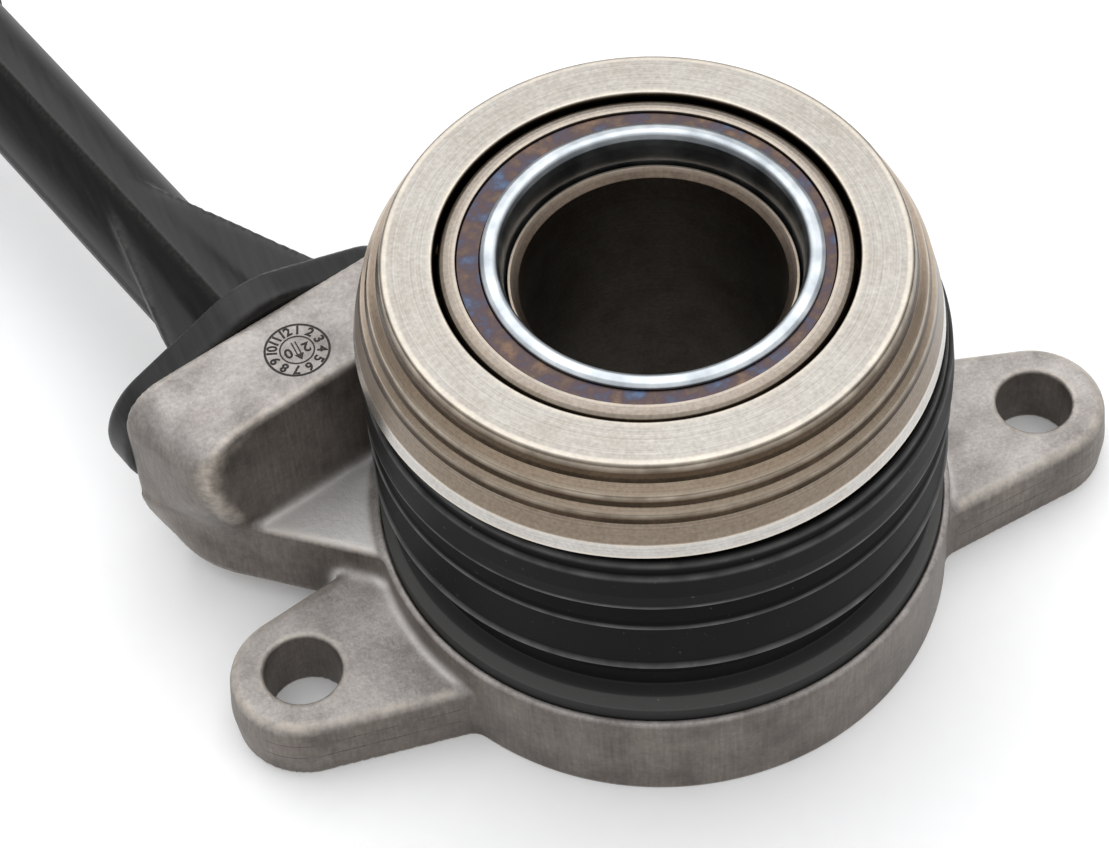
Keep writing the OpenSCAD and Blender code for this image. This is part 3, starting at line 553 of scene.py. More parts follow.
def soft_cut(a: np.ndarray, b: np.ndarray, k: np.ndarray | float) -> np.ndarray:
    """Cuts field b out of field a and rounds the new edge over about k millimetres."""
    return -soft_join(-a, b, k)


def soft_meet(a: np.ndarray, b: np.ndarray, k: np.ndarray | float) -> np.ndarray:
    """Keeps what two fields share and rounds the edge between them over about k millimetres."""
    return -soft_join(-a, -b, k)


def slab(flat: np.ndarray, z: np.ndarray, low: float, high: float, round_mm: float) -> np.ndarray:
    """Raises a flat outline's distance to a plate from low to high, with its edges rounded.

    Args:
        flat: Distance to the outline.
        z: Height of each point.
        low: Underside.
        high: Top.
        round_mm: Edge radius.

    Returns:
        Distance to the plate.
    """
    side = flat + round_mm
    over = np.abs(z - 0.5 * (low + high)) - 0.5 * (high - low) + round_mm
    return np.minimum(np.maximum(side, over), 0.0) + np.hypot(np.maximum(side, 0.0), np.maximum(over, 0.0)) - round_mm


def outline(x: np.ndarray, y: np.ndarray, corners: tuple[tuple[float, float], ...], round_mm: float) -> np.ndarray:
    """Distance to a polygon: nearest edge, negative inside by the crossing rule, grown back by its corner radius.

    Args:
        x: First coordinate.
        y: Second coordinate.
        corners: Polygon corners in order, already drawn in by round_mm.
        round_mm: Corner radius.

    Returns:
        Signed distance in millimetres.
    """
    best = np.full(np.shape(x), np.inf)
    sign = np.ones(np.shape(x))
    for (ax, ay), (bx, by) in zip(corners, corners[1:] + corners[:1]):
        ex, ey, wx, wy = bx - ax, by - ay, x - ax, y - ay
        t = np.clip((wx * ex + wy * ey) / (ex * ex + ey * ey), 0.0, 1.0)
        best = np.minimum(best, (wx - ex * t) ** 2 + (wy - ey * t) ** 2)
        crosses = (y >= ay) != (y >= by)
        left = (ex * wy - ey * wx > 0) == (by > ay)
        sign = np.where(crosses & left, -sign, sign)
    return sign * np.sqrt(best) - round_mm


def taper(x: np.ndarray, y: np.ndarray, a: tuple[float, float, float], b: tuple[float, float, float]) -> np.ndarray:
    """Distance to two circles joined by their outer tangents.

    Args:
        x: First coordinate.
        y: Second coordinate.
        a: Centre and radius of the larger circle.
        b: Centre and radius of the smaller circle.

    Returns:
        Signed distance in millimetres.
    """
    bx, by = b[0] - a[0], b[1] - a[1]
    length = math.hypot(bx, by)
    along = ((x - a[0]) * bx + (y - a[1]) * by) / length
    off = np.abs((x - a[0]) * by - (y - a[1]) * bx) / length
    lean = (a[2] - b[2]) / length
    rise = math.sqrt(1 - lean * lean)
    reach = along * rise - off * lean
    straight = off * rise + along * lean - a[2]
    near = np.hypot(along, off) - a[2]
    far = np.hypot(along - length, off) - b[2]
    return np.where(reach < 0, near, np.where(reach > length * rise, far, straight))


def to_port(x: np.ndarray, y: np.ndarray) -> tuple[np.ndarray, np.ndarray]:
    """Turns part coordinates to the port's frame: u across the block and d out along the pipe."""
    cos, sin = math.cos(PORT_TURN), math.sin(PORT_TURN)
    return x * cos + y * sin, -x * sin + y * cos


def from_port(u: np.ndarray, d: np.ndarray, z: np.ndarray) -> np.ndarray:
    """Turns points of the port's frame back and stacks them in rows."""
    cos, sin = math.cos(PORT_TURN), math.sin(PORT_TURN)
    return np.stack([u * cos - d * sin, u * sin + d * cos, z], -1)


def spaced(*runs: tuple[float, float, float]) -> np.ndarray:
    """Lists grid levels from runs of (start, stop, step); each run leaves its stop to the next."""
    return np.concatenate([np.arange(start, stop - 0.01 * step, step) for start, stop, step in runs])


@dataclass(frozen=True)
class SurfaceNet:
    """Meshes the zero level of a distance field on a grid (a surface net).

    The three axes hold x, y and z levels, or, when turned, radius, angle and z levels with the angle closing on itself.
    """

    axes: tuple[np.ndarray, np.ndarray, np.ndarray]
    turned: bool = False

    def mesh(self, distance: Field) -> tuple[np.ndarray, np.ndarray]:
        """Puts one point in each cell that the surface crosses and one face across each grid edge it cuts.

        The cell point is the mean of its cut edges, then it slides down the field's slope on to the surface.

        Args:
            distance: Field that is negative inside.

        Returns:
            Points in millimetres and faces of four.
        """
        grid = np.stack(np.meshgrid(*self.axes, indexing="ij"), -1)
        if self.turned:
            grid = np.stack([grid[..., 0] * np.cos(grid[..., 1]), grid[..., 0] * np.sin(grid[..., 1]),
                             grid[..., 2]], -1)
        value = distance(grid[..., 0], grid[..., 1], grid[..., 2])
        shape = np.array(value.shape)
        total, tally, cuts = np.zeros((value.size, 3)), np.zeros(value.size), []
        for axis in range(3):
            cut = (value < 0) != (np.roll(value, -1, axis) < 0)
            if not (self.turned and axis == 1):
                np.moveaxis(cut, axis, 0)[-1] = False
            found = np.argwhere(cut)
            ahead = found.copy()
            ahead[:, axis] = (ahead[:, axis] + 1) % shape[axis]
            f0, f1 = value[tuple(found.T)], value[tuple(ahead.T)]
            p0, p1 = grid[tuple(found.T)], grid[tuple(ahead.T)]
            spot = p0 + (p1 - p0) * (f0 / (f0 - f1))[:, None]
            ring = []
            for back in ((1, 1), (0, 1), (0, 0), (1, 0)):
                cell = found.copy()
                cell[:, (axis + 1) % 3] -= back[0]
                cell[:, (axis + 2) % 3] -= back[1]
                ring.append(np.ravel_multi_index(tuple((cell % shape).T), value.shape))
                tally += np.bincount(ring[-1], minlength=value.size)
                total += np.stack([np.bincount(ring[-1], spot[:, k], value.size) for k in range(3)], -1)
            quad = np.stack(ring, -1)
            cuts.append(np.where((f0 < 0)[:, None], quad, quad[:, ::-1]))
        used = np.flatnonzero(tally)
        renumber = np.full(value.size, -1)
        renumber[used] = np.arange(len(used))
        points = total[used] / tally[used][:, None]
        for _ in range(4):
            here, slope = self.slope(distance, points, 0.02)
            points -= np.clip(here / np.maximum(np.sum(slope ** 2, 1), 0.2), -0.3, 0.3)[:, None] * slope
        return points, renumber[np.concatenate(cuts)]

    @staticmethod
    def slope(distance: Field, points: np.ndarray, reach: float) -> tuple[np.ndarray, np.ndarray]:
        """Gives the field and its slope at points, by central differences.

        Args:
            distance: The field.
            points: Points in millimetres.
            reach: Half the span of the differences.

        Returns:
            Field values and slopes.
        """
        slope = np.zeros_like(points)
        for axis in range(3):
            shift = np.zeros(3)
            shift[axis] = reach
            slope[:, axis] = (distance(*(points + shift).T) - distance(*(points - shift).T)) / (2 * reach)
        return distance(*points.T), slope

    @staticmethod
    def bend(distance: Field, points: np.ndarray, reach: float) -> np.ndarray:
        """Gives how sharply the surface bends: the field's sum of second differences, above 0 on outer edges.

        Args:
            distance: The field.
            points: Points in millimetres.
            reach: Span of the differences.

        Returns:
            One number per point, in 1/mm.
        """
        total = -6 * distance(*points.T)
        for axis in range(3):
            shift = np.zeros(3)
            shift[axis] = reach
            total = total + distance(*(points + shift).T) + distance(*(points - shift).T)
        return total / reach ** 2

    @staticmethod
    def even(values: np.ndarray, faces: np.ndarray) -> np.ndarray:
        """Evens out point values twice: each point takes the mean of the faces round it.

        Args:
            values: One number per point.
            faces: Point numbers, one row per face.

        Returns:
            The evened values.
        """
        count = np.bincount(faces.ravel())
        for _ in range(2):
            values = np.bincount(faces.ravel(), np.repeat(values[faces].mean(1), faces.shape[1])) / count
        return values


@dataclass
class Housing:
    """The die-cast base: ring, three bolt ears, port block, cylinder and its date clock."""

    ring_r: float = 32.0
    ring_h: float = 12.5
    ear_h: float = 8.4
    ear_r: float = 8.4
    seam_z: float = 3.6
    hole_r: float = 4.3
    holes: tuple[tuple[float, float], ...] = ((44.4, -4.4), (-44.4, -4.4), (0.0, 44.6))
    roots: tuple[tuple[float, float], ...] = ((-27.0, 13.0), (167.0, 207.0), (69.0, 111.0))  # degrees
    root_out: float = 29.2
    root_r: float = 2.0
    draft: float = 0.09
    below: float = -3.0  # ring and ears start here, and the last cut gives them one flat underside
    clear: float = 60.0  # cuts that are open at the top end here, above everything
    bar_top: float = 29.0
    bar_front: float = 23.8
    end_u: float = -44.2
    foot_u: float = -45.9
    flank: tuple[float, float, float] = (-0.8107, -0.5855, -18.3)  # direction in u and d, and distance
    shelf_top: float = 12.4
    block_base: float = 2.7
    port_face: float = 35.7
    rim_r: float = 32.4
    seat: tuple[float, float, float] = (20.0, 11.2, 11.6)  # boot's seat: middle radius, half width and floor
    bore_r: float = 20.0
    cylinder: tuple[float, float, float] = (23.0, 2.0, 30.0)  # outer radius and two ends
    tube_seat: tuple[float, float] = (24.55, 2.0)  # for the guide tube's foot: radius and depth
    clock: tuple[float, float] = (-26.8, 29.25)
    around: int = 560
    finish: CastAluminium = field(default_factory=CastAluminium)

    def ears(self, x: np.ndarray, y: np.ndarray, z: np.ndarray) -> np.ndarray:
        """Joins the three ears: each is an end circle joined by tangents to two root circles in the ring.

        Their sides lean in by a small draft above and below the mould's seam.

        Args:
            x: Coordinates along X.
            y: Coordinates along Y.
            z: Heights.

        Returns:
            Signed distance in millimetres.
        """
        plan = np.full(np.shape(x), np.inf)
        for hole, angles in zip(self.holes, self.roots):
            turns = [math.radians(angle) for angle in angles]
            ends = [(self.root_out * math.cos(turn), self.root_out * math.sin(turn)) for turn in turns]
            for end in ends:
                plan = np.minimum(plan, taper(x, y, (*hole, self.ear_r), (*end, self.root_r)))
            plan = np.minimum(plan, outline(x, y, (hole, *ends), 0.0))
        return slab(plan + self.draft * np.abs(z - self.seam_z), z, self.below, self.ear_h, 1.2)

    def bar(self, u: np.ndarray, d: np.ndarray, z: np.ndarray) -> tuple[np.ndarray, np.ndarray]:
        """Gives the two fields that meet in the tall bar's ridge: its end with the rounded top, and its front.

        The end leans out towards the flange and tucks under itself near the front; the front swells at the ridge.

        Args:
            u: Coordinates across the block.
            d: Coordinates out along the pipe.
            z: Heights.

        Returns:
            Distances to the end and to the front.
        """
        deep = d - self.bar_front
        # the tuck starts 21.5 mm up at the front, and about as much lower as the point lies further back
        tuck = 1.2 * np.logaddexp(0.0, (21.5 - 0.98 * deep - z) / 1.2)
        end = self.end_u - 0.15 * deep + 0.42 * tuck - u
        roof = soft_meet(end, z - self.bar_top, 5.5)
        return roof, -deep - np.exp(-((u - self.end_u - 1.5) / 3.0) ** 2)

    def block(self, x: np.ndarray, y: np.ndarray, z: np.ndarray) -> np.ndarray:
        """Gives the port block, in the frame turned to the port: a low shelf with a slanting flank, and a tall bar.

        Args:
            x: Coordinates along X.
            y: Coordinates along Y.
            z: Heights.

        Returns:
            Signed distance in millimetres.
        """
        u, d = to_port(x, y)
        flank = self.flank[0] * u + self.flank[1] * d + self.flank[2] + 0.075 * (z - self.block_base)
        foot = soft_meet(flank, self.foot_u + 0.27 * np.maximum(self.ring_h - z, 0.0) - u, 2.5)
        shelf = soft_meet(soft_meet(foot, self.block_base - z, 1.2), z - self.shelf_top, 0.8)
        roof, front = self.bar(u, d, z)
        bar = soft_meet(roof, front, 1.0 + 3.5 * np.clip((28.2 - z) / 4.0, 0.0, 1.0))
        bar = soft_meet(bar, self.block_base - z, 1.2)
        block = np.maximum(soft_join(bar, shelf, 1.2), u + 8.0)
        return soft_meet(block, d - self.port_face, 0.8)

    def distance(self, x: np.ndarray, y: np.ndarray, z: np.ndarray) -> np.ndarray:
        """Gives the distance to the casting: forms joined with fillets, then bored and recessed.

        Args:
            x: Coordinates along X.
            y: Coordinates along Y.
            z: Heights.

        Returns:
            Signed distance in millimetres.
        """
        r = np.hypot(x, y)
        ring = slab(r - self.ring_r, z, self.below, self.ring_h, 0.5)
        # the block lies in one quarter of the plan, and elsewhere it counts as 20 mm off
        near = (x < 6.0) & (y > -14.0)
        block = np.full(r.shape, 20.0)
        block[near] = self.block(x[near], y[near], z[near])
        block = soft_cut(block, slab(r - self.rim_r, z, self.ring_h, self.clear, 0.2), 0.5)
        solid = soft_join(soft_join(ring, self.ears(x, y, z), 1.0), block, 1.1)
        seat = slab(np.abs(r - self.seat[0]) - self.seat[1], z, self.seat[2], self.clear, 0.15)
        solid = soft_cut(solid, seat, 0.2)
        solid = np.minimum(solid, slab(r - self.cylinder[0], z, self.cylinder[1], self.cylinder[2], 0.3))
        solid = soft_cut(solid, r - self.bore_r, 0.15)
        solid = soft_cut(solid, slab(r - self.tube_seat[0], z, -9.0, self.tube_seat[1], 0.1), 0.15)
        for hole in self.holes:
            solid = soft_cut(solid, np.hypot(x - hole[0], y - hole[1]) - self.hole_r, 0.5)
        return soft_cut(solid, z, 0.3)

    def build(self) -> None:
        """Meshes the casting, marks its rubbed edges (also a painted highlight), upright walls (painted shade) and
        seams, and its hollows and shelf (painted highlight), and adds the date clock.
        """
        radii = spaced((19.2, 20.8, 0.4), (20.8, 22.6, 0.9), (22.6, 23.4, 0.27), (23.4, 24.1, 0.7), (24.1, 25.0, 0.3),
                       (25.0, 30.8, 0.75), (30.8, 32.8, 0.2), (32.8, 34.2, 0.35), (34.2, 61.0, 0.55))
        heights = spaced((-0.75, 0.75, 0.25), (0.75, 1.7, 0.6), (1.7, 2.3, 0.3), (2.3, 7.1, 0.75), (7.1, 9.2, 0.3),
                         (9.2, 11.3, 0.7), (11.3, 13.1, 0.2), (13.1, 27.2, 0.7), (27.2, 31.2, 0.3))
        net = SurfaceNet((radii, 2 * np.pi * np.arange(self.around) / self.around, heights), turned=True)
        points, faces = net.mesh(self.distance)
        bend = SurfaceNet.bend(self.distance, points, 0.3)
        slope = SurfaceNet.slope(self.distance, points, 0.05)[1]
        # upright walls: the mask for the painted shade on walls, also used to weight the rubbed edges
        wall = SurfaceNet.even(1.0 - np.abs(slope[:, 2]) / np.linalg.norm(slope, axis=1), faces)
        # rubbed edges, whose pale line also paints the edges' highlight
        wear = np.clip((bend - 0.3) / 0.5, 0.0, 1.0) * (0.3 + 0.7 * np.exp(-((wall - 0.22) / 0.12) ** 2))
        x, y, z = points.T
        u, d = to_port(x, y)
        from_axis = np.hypot(x, y)
        in_rim = from_axis < self.rim_r + 0.2
        roof, front = self.bar(u, d, z)
        # the bar's ridge gets a broad band of the same rubbed tint, partly wear and partly painted highlight
        ridge = np.exp(-((roof - front) / 1.7) ** 2) * (np.maximum(roof, front) > -2.0) * np.clip(-36.0 - u, 0.0, 1.0)
        ridge = ridge * np.clip(28.6 - z, 0.0, 1.0) * np.clip((z - 12.6) / 2.0, 0.0, 1.0)
        wear = SurfaceNet.even(np.maximum(wear * np.where(in_rim, 0.45, 1.0), 0.75 * ridge), faces)
        # painted highlight: the shelf joins the concave fillets in the mask that lifts them towards a near-white
        shelf = (np.abs(z - self.shelf_top) < 0.2) & ~in_rim & (u < 0.0) & (wall < 0.2)
        hollow = SurfaceNet.even(np.maximum(np.clip((-bend - 0.7) / 0.6, 0.0, 1.0), shelf), faces)
        from_hole = np.hypot(np.abs(x) - self.holes[0][0], y - self.holes[0][1])
        seam = np.where((from_axis > 33.4) & (y < 2.0) & (d < 4.0) & (from_hole > 5.5), 1.0, 0.0)
        piece = add_piece("housing_casting", points, faces, self.finish.material(), Body.HOUSING,
                          {"wear": wear, "hollow": hollow, "wall": wall, "seam": seam})
        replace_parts(piece, "housing")
        self.date_clock()

    def date_clock(self) -> None:
        """Lays the mould maker's date clock on the block: two rings, twelve numbers, a year and a pointer.

        Each mark is a flat shape that is turned and shifted on the dial; the dial then goes to the port's frame.
        """
        count, lift, year_turn = 72, 0.03, math.radians(168.0)
        here = np.arange(count)
        ahead = (here + 1) % count
        angle = 2 * np.pi * here / count
        circle = np.stack([np.cos(angle), np.sin(angle), np.zeros(count)], -1)
        band = np.stack([here, count + here, count + ahead, ahead], -1)
        marks = [(np.concatenate([inner * circle, outer * circle]), band, 0.0, 0.0, 0.0)
                 for inner, outer in ((3.42, 3.68), (1.8, 1.98))]
        for number in range(1, 13):
            turn = math.radians(85 - 30 * number)
            marks.append((*self.glyph(str(number), 1.6), turn - math.pi / 2, 2.7, turn))
        marks += [(*self.glyph("2", 1.8), year_turn, 1.05, math.radians(-12.0)),
                  (*self.glyph("0", 1.8), year_turn, 1.05, year_turn)]
        pointer = [[(-0.3, -1.2, 0), (-0.14, -1.2, 0), (-0.14, 0.6, 0), (-0.3, 0.6, 0)],
                   [(0.14, -1.2, 0), (0.3, -1.2, 0), (0.3, 0.6, 0), (0.14, 0.6, 0)],
                   [(-0.55, 0.6, 0), (0.55, 0.6, 0), (0.0, 1.5, 0)]]
        marks += [(np.array(stroke), [np.arange(len(stroke))], year_turn, 0.0, 0.0) for stroke in pointer]
        points, faces, base = [], [], 0
        for flat, sides, spin, radius, turn in marks:
            cos, sin = math.cos(spin), math.sin(spin)
            turned = flat @ np.array([[cos, sin, 0.0], [-sin, cos, 0.0], [0.0, 0.0, 1.0]])
            points.append(turned + (radius * math.cos(turn), radius * math.sin(turn), lift))
            faces += [(side + base).tolist() for side in sides]
            base += len(flat)
        u, d, z = (np.concatenate(points) + (*self.clock, self.bar_top)).T
        mesh = bpy.data.meshes.new("date_clock")
        mesh.from_pydata((from_port(u, d, z) * MM).tolist(), [], faces)
        mesh.materials.append(PlainStock("clock_marks", "#1d1b19", "#332f2b", 0.4, 0.6, 0.3).material())
        piece = bpy.data.objects.new("date_clock", mesh)
        bpy.context.scene.collection.objects.link(piece)
        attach(piece, Body.HOUSING.value)
        LOG.info("date_clock: %d faces", len(faces))

    @staticmethod
    def glyph(text: str, size_mm: float) -> tuple[np.ndarray, list[np.ndarray]]:
        """Makes the flat shape of a number, centred on the origin.

        Args:
            text: The number.
            size_mm: Height of the type.

        Returns:
            Points in millimetres, and the point numbers of each face.
        """
        curve = bpy.data.curves.new("glyph", "FONT")
        curve.body, curve.size, curve.space_character = text, size_mm * MM, 0.85
        curve.bevel_depth, curve.bevel_resolution = 0.045 * MM, 0
        curve.align_x, curve.align_y = "CENTER", "CENTER"
        holder = bpy.data.objects.new("glyph", curve)
        bpy.context.scene.collection.objects.link(holder)
        shape = bpy.data.meshes.new_from_object(holder.evaluated_get(bpy.context.evaluated_depsgraph_get()))
        bpy.data.objects.remove(holder)
        flat = np.empty(3 * len(shape.vertices), np.float32)
        corners, starts = np.empty(len(shape.loops), np.int32), np.empty(len(shape.polygons), np.int32)
        shape.vertices.foreach_get("co", flat)
        shape.loops.foreach_get("vertex_index", corners)
        shape.polygons.foreach_get("loop_start", starts)
        return flat.reshape(-1, 3).astype(float) / MM, np.split(corners, starts[1:])


@dataclass
class PipeAdaptor:
    """The moulded fluid pipe: spigot, diamond flange, gusset plates, tube and plain connector end."""

    pipe_r: float = 6.2
    flange_near: float = 35.7
    flange_far: float = 40.2
    flange_r: float = 11.9
    lobe_r: float = 7.6
    screw_x: float = 12.0
    seam_x: float = -1.1
    screw_r: float = 2.6
    screw_head_r: float = 4.7
    gusset: tuple[tuple[float, float], ...] = ((-8.7, 38.0), (11.4, 38.0), (11.4, 40.8), (1.6, 64.0), (-1.6, 68.7),
                                               (-8.7, 40.8))
    collar: tuple[float, float, float] = (7.4, 106.2, 108.4)  # radius and two ends
    groove: tuple[float, float, float, float] = (5.6, 1.0, 108.6, 110.8)  # middle radius, half depth and two ends
    tip: tuple[float, float] = (5.0, 115.7)  # radius and end
    spigot: tuple[float, float] = (6.5, 27.5)  # radius and inner end
    bore_r: float = 2.0
    finish: FilledPlastic = field(default_factory=FilledPlastic)

    def distance(self, x: np.ndarray, y: np.ndarray, z: np.ndarray) -> np.ndarray:
        """Gives the distance to the moulding, in the port frame with the pipe along y.

        Args:
            x: Sideways from the pipe's axis.
            y: Out along the pipe.
            z: Height above the pipe's axis.

        Returns:
            Signed distance in millimetres.
        """
        r = np.hypot(x, z)
        left = np.clip((self.seam_x - x) / 0.25, 0.0, 1.0) * (z > 0)
        tube = slab(r - self.pipe_r + 0.3 * left, y, self.flange_near, self.collar[1] + 1.0, 0.3)
        plate = np.minimum(taper(x, z, (0.0, 0.0, self.flange_r), (self.screw_x, 0.0, self.lobe_r)),
                           taper(x, z, (0.0, 0.0, self.flange_r), (-self.screw_x, 0.0, self.lobe_r)))
        plate = slab(plate, y, self.flange_near, self.flange_far, 0.7)
        wing = outline(x, y, self.gusset, 0.6)
        top = np.where(x < 0, 3.9, 4.9) + 0.05 * np.clip(y - self.flange_far, 0.0, 24.0)
        wing = soft_meet(wing, np.abs(z - top + 1.0) - 1.0, 0.35)
        form = soft_join(soft_join(tube, plate, 0.8), wing, 0.3)
        form = soft_join(form, slab(r - self.collar[0], y, self.collar[1], self.collar[2], 0.5), 0.8)
        form = np.minimum(form, slab(r - self.tip[0], y, self.collar[2] - 1.0, self.tip[1], 0.5))
        form = np.minimum(form, slab(r - self.spigot[0], y, self.spigot[1], self.flange_near + 1.0, 0.5))
        for side in (-1.0, 1.0):
            off = np.hypot(x - side * self.screw_x, z)
            sink = off - self.screw_head_r - np.minimum(y - self.flange_far, 0.0)
            form = soft_cut(form, np.minimum(off - self.screw_r, sink), 0.2)
        form = soft_cut(form, slab(np.abs(r - self.groove[0]) - self.groove[1], y, *self.groove[2:], 0.1), 0.1)
        return soft_cut(form, r - self.bore_r, 0.2)

    def build(self) -> None:
        """Meshes the moulding and sets it in the part's frame."""
        across, out = spaced((-21.0, 21.0, 0.55)), spaced((26.6, 117.0, 0.6))
        net = SurfaceNet((across, out, spaced((-14.6, 3.0, 0.6), (3.0, 14.6, 0.45))))
        local, faces = net.mesh(self.distance)
        points = from_port(local[:, 0] - PORT_OFFSET, local[:, 1], local[:, 2] + PORT_Z)
        # painted shade on the tube's left half, darkest at the seam and fading round the tube
        side = np.arctan2(-local[:, 0], local[:, 2]) - math.atan2(-self.seam_x, self.pipe_r)
        dull = np.where((side > -0.03) & (local[:, 1] > self.flange_far), np.exp(-np.maximum(side, 0.0) / 0.7), 0.0)
        bend = SurfaceNet.bend(self.distance, local, 0.3)
        # pale sharp edges: flash, also a painted highlight
        wear = SurfaceNet.even(np.clip((bend - 1.2) / 1.5, 0.0, 1.0), faces)
        piece = add_piece("pipe_moulding", points, faces, self.finish.material(), Body.HOUSING,
                          {"dull": dull, "wear": wear})
        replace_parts(piece, "pipe_adaptor")


@dataclass
class DustBoot:
    """The rubber bellows between the housing's rim and the bearing carrier."""

    foot_z: float = 11.6
    stroke_keep: float = 0.721
    finish: MouldedRubber = field(default_factory=MouldedRubber)

    def build(self) -> None:
        """Turns the bellows section."""
        # the bead at the foot is grey, with a painted highlight stripe at its widest corner; the rest of the bellows is
        # black
        dull, bead_highlight, black = "#3d3d3c", "#585856", "#0a0a0a"
        # the last number on a corner marks a pale flash line there, which also paints the ridge's highlight
        outside = [
            (27.45, 11.6, 0.2, 0.0), (31.1, 11.6, 0.5, 0.0), (31.15, 14.2, 1.0, 0.0), (30.2, 15.6, 0.8, 0.0),
            (28.75, 16.0, 0.5, 0.0), (28.35, 17.4, 0.6, 0.0), (28.35, 20.4, 0.6, 0.0), (30.3, 21.5, 0.5, 0.0),
            (31.3, 22.6, 0.1, 1.0), (30.95, 23.4, 0.3, 0.0), (30.1, 28.6, 0.5, 0.0), (31.25, 29.7, 0.1, 1.0),
            (30.8, 30.5, 0.3, 0.0), (30.05, 32.6, 0.4, 0.0), (31.3, 33.5, 0.1, 1.0), (31.3, 35.5, 1.0, 0.0),
            (31.05, 38.3, 0.15, 0.7), (30.55, 38.6, 0.15, 0.0), (30.5, 39.9, 0.25, 0.6), (30.1, 40.3, 0.3, 0.0),
        ]
        inside = [
            (28.05, 40.3, 0.1), (28.05, 39.78, 0.02), (29.36, 39.78, 0.02), (29.36, 38.3, 0.02), (28.05, 38.3, 0.1),
            (28.05, 37.7, 0.2), (28.85, 36.9, 0.3), (29.3, 35.2, 0.3), (29.3, 33.6, 0.3), (28.8, 32.1, 0.3),
            (29.1, 29.8, 0.3), (28.8, 28.3, 0.3), (29.3, 24.4, 0.3), (28.9, 22.6, 0.3), (27.45, 20.4, 0.4),
            (27.45, 16.9, 0.4),
        ]
        tints = [dull, dull, bead_highlight, dull] + [black] * (len(outside) - 4)
        corners = [Corner(r, z, fillet, tint, wear=wear) for (r, z, fillet, wear), tint in zip(outside, tints)]
        corners += [Corner(r, z, fillet, black) for r, z, fillet in inside]
        piece = Turning(corners, around=288).build("dust_boot_bellows", self.finish.material(), Body.HOUSING,
                                                   "boot_rubber")
        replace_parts(piece, "dust_boot")
        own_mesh(piece)


@dataclass
class ReleaseBearing:
    """The thrust bearing: turned outer ring, inner ring and the tempered centring washer."""

    champagne: str = "#9d9993"
    bronze: str = "#483b2e"
    fold: str = "#a89683"
    # painted shade for the concave corners between the bands
    valley: str = "#382f26"
    flare: str = "#83776a"
    silver: str = "#bdbab6"

    def build(self) -> None:
        """Turns the three rings on the bearing's own, slightly offset, axis."""
        steel = TurnedSteel().material()
        # the darkest tints paint shade into the concave corners between bands; a corner's last number paints a pale
        # highlight along it
        outer = [
            Corner(21.8, 52.2, 0.25, self.champagne, 0.36, 0.5), Corner(27.2, 52.2, 0.6, self.bronze, 0.26, 0.6),
            Corner(27.5, 51.1, 0.4, self.bronze, 0.24), Corner(27.55, 50.55, 0.2, self.valley, 0.24),
            Corner(27.75, 50.1, 0.2, self.fold, 0.26), Corner(28.75, 49.1, 0.5, self.bronze, 0.24, 0.6),
            Corner(28.86, 48.4, 0.2, self.valley, 0.24), Corner(29.05, 47.9, 0.2, self.fold, 0.26),
            Corner(29.6, 47.3, 0.4, self.bronze, 0.26, 0.5), Corner(29.72, 46.7, 0.2, self.valley, 0.26),
            Corner(29.85, 46.2, 0.2, self.flare, 0.34), Corner(30.45, 43.7, 0.04, self.flare, 0.3),
            Corner(30.5, 43.5, 0.04, self.silver, 0.24, 0.7), Corner(30.8, 41.75, 0.1, self.silver, 0.25, 0.8),
            Corner(30.55, 41.5, 0.1, self.flare, 0.4), Corner(29.4, 41.5, 0.1, self.flare, 0.4),
            Corner(29.4, 43.0, 0.1, self.flare, 0.4), Corner(28.4, 43.0, 0.3, self.flare, 0.3),
            # the ball track
            Corner(26.42, 45.36, 0.2, self.silver, 0.15), Corner(26.6, 46.9, 1.0, self.silver, 0.15),
            Corner(25.6, 48.4, 1.0, self.silver, 0.15), Corner(24.2, 48.85, 1.0, self.silver, 0.15),
            Corner(23.2, 48.62, 0.3, self.flare, 0.3), Corner(21.8, 49.6, 0.2, self.bronze, 0.3),
        ]
        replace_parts(Turning(outer, BEARING_OFFSET, 288).build("thrust_ring", steel, Body.OUTER, "outer_steel"),
                    "bearing_outer_ring")
        # a corner's last number paints a pale highlight along it
        inner = [
            Corner(17.5, 40.34, 0.2, self.flare, 0.35), Corner(23.8, 40.34, 0.3, self.flare, 0.35),
            Corner(24.0, 43.9, 0.2, self.silver, 0.15), Corner(22.5, 44.6, 0.8, self.silver, 0.15),
            Corner(21.75, 46.4, 1.0, self.silver, 0.15), Corner(21.9, 47.24, 0.2, self.bronze, 0.3),
            Corner(21.3, 47.9, 0.3, self.bronze, 0.3), Corner(21.3, 51.2, 0.15, "#82786d", 0.3),
            Corner(21.1, 51.62, 0.3, "#857b70", 0.3), Corner(20.7, 51.83, 0.5, "#867d74", 0.3),
            Corner(20.2, 51.93, 0.5, "#867e76", 0.3), Corner(19.46, 51.94, 0.1, "#857d75", 0.34, 0.4),
            Corner(19.46, 50.81, 0.1, self.flare, 0.35), Corner(17.5, 50.81, 0.2, self.flare, 0.35),
        ]
        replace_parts(Turning(inner, BEARING_OFFSET).build("race_ring", steel, Body.INNER, "inner_steel"),
                    "bearing_inner_ring")
        washer = [Corner(17.02, 50.83, 0.1), Corner(19.39, 50.83, 0.1), Corner(19.39, 51.68, 0.14),
                  Corner(17.02, 51.68, 0.14)]
        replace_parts(Turning(washer, BEARING_OFFSET).build("tempered_washer", TemperedSteel().material(), Body.INNER,
                                                          "tempered_steel"), "centring_washer")


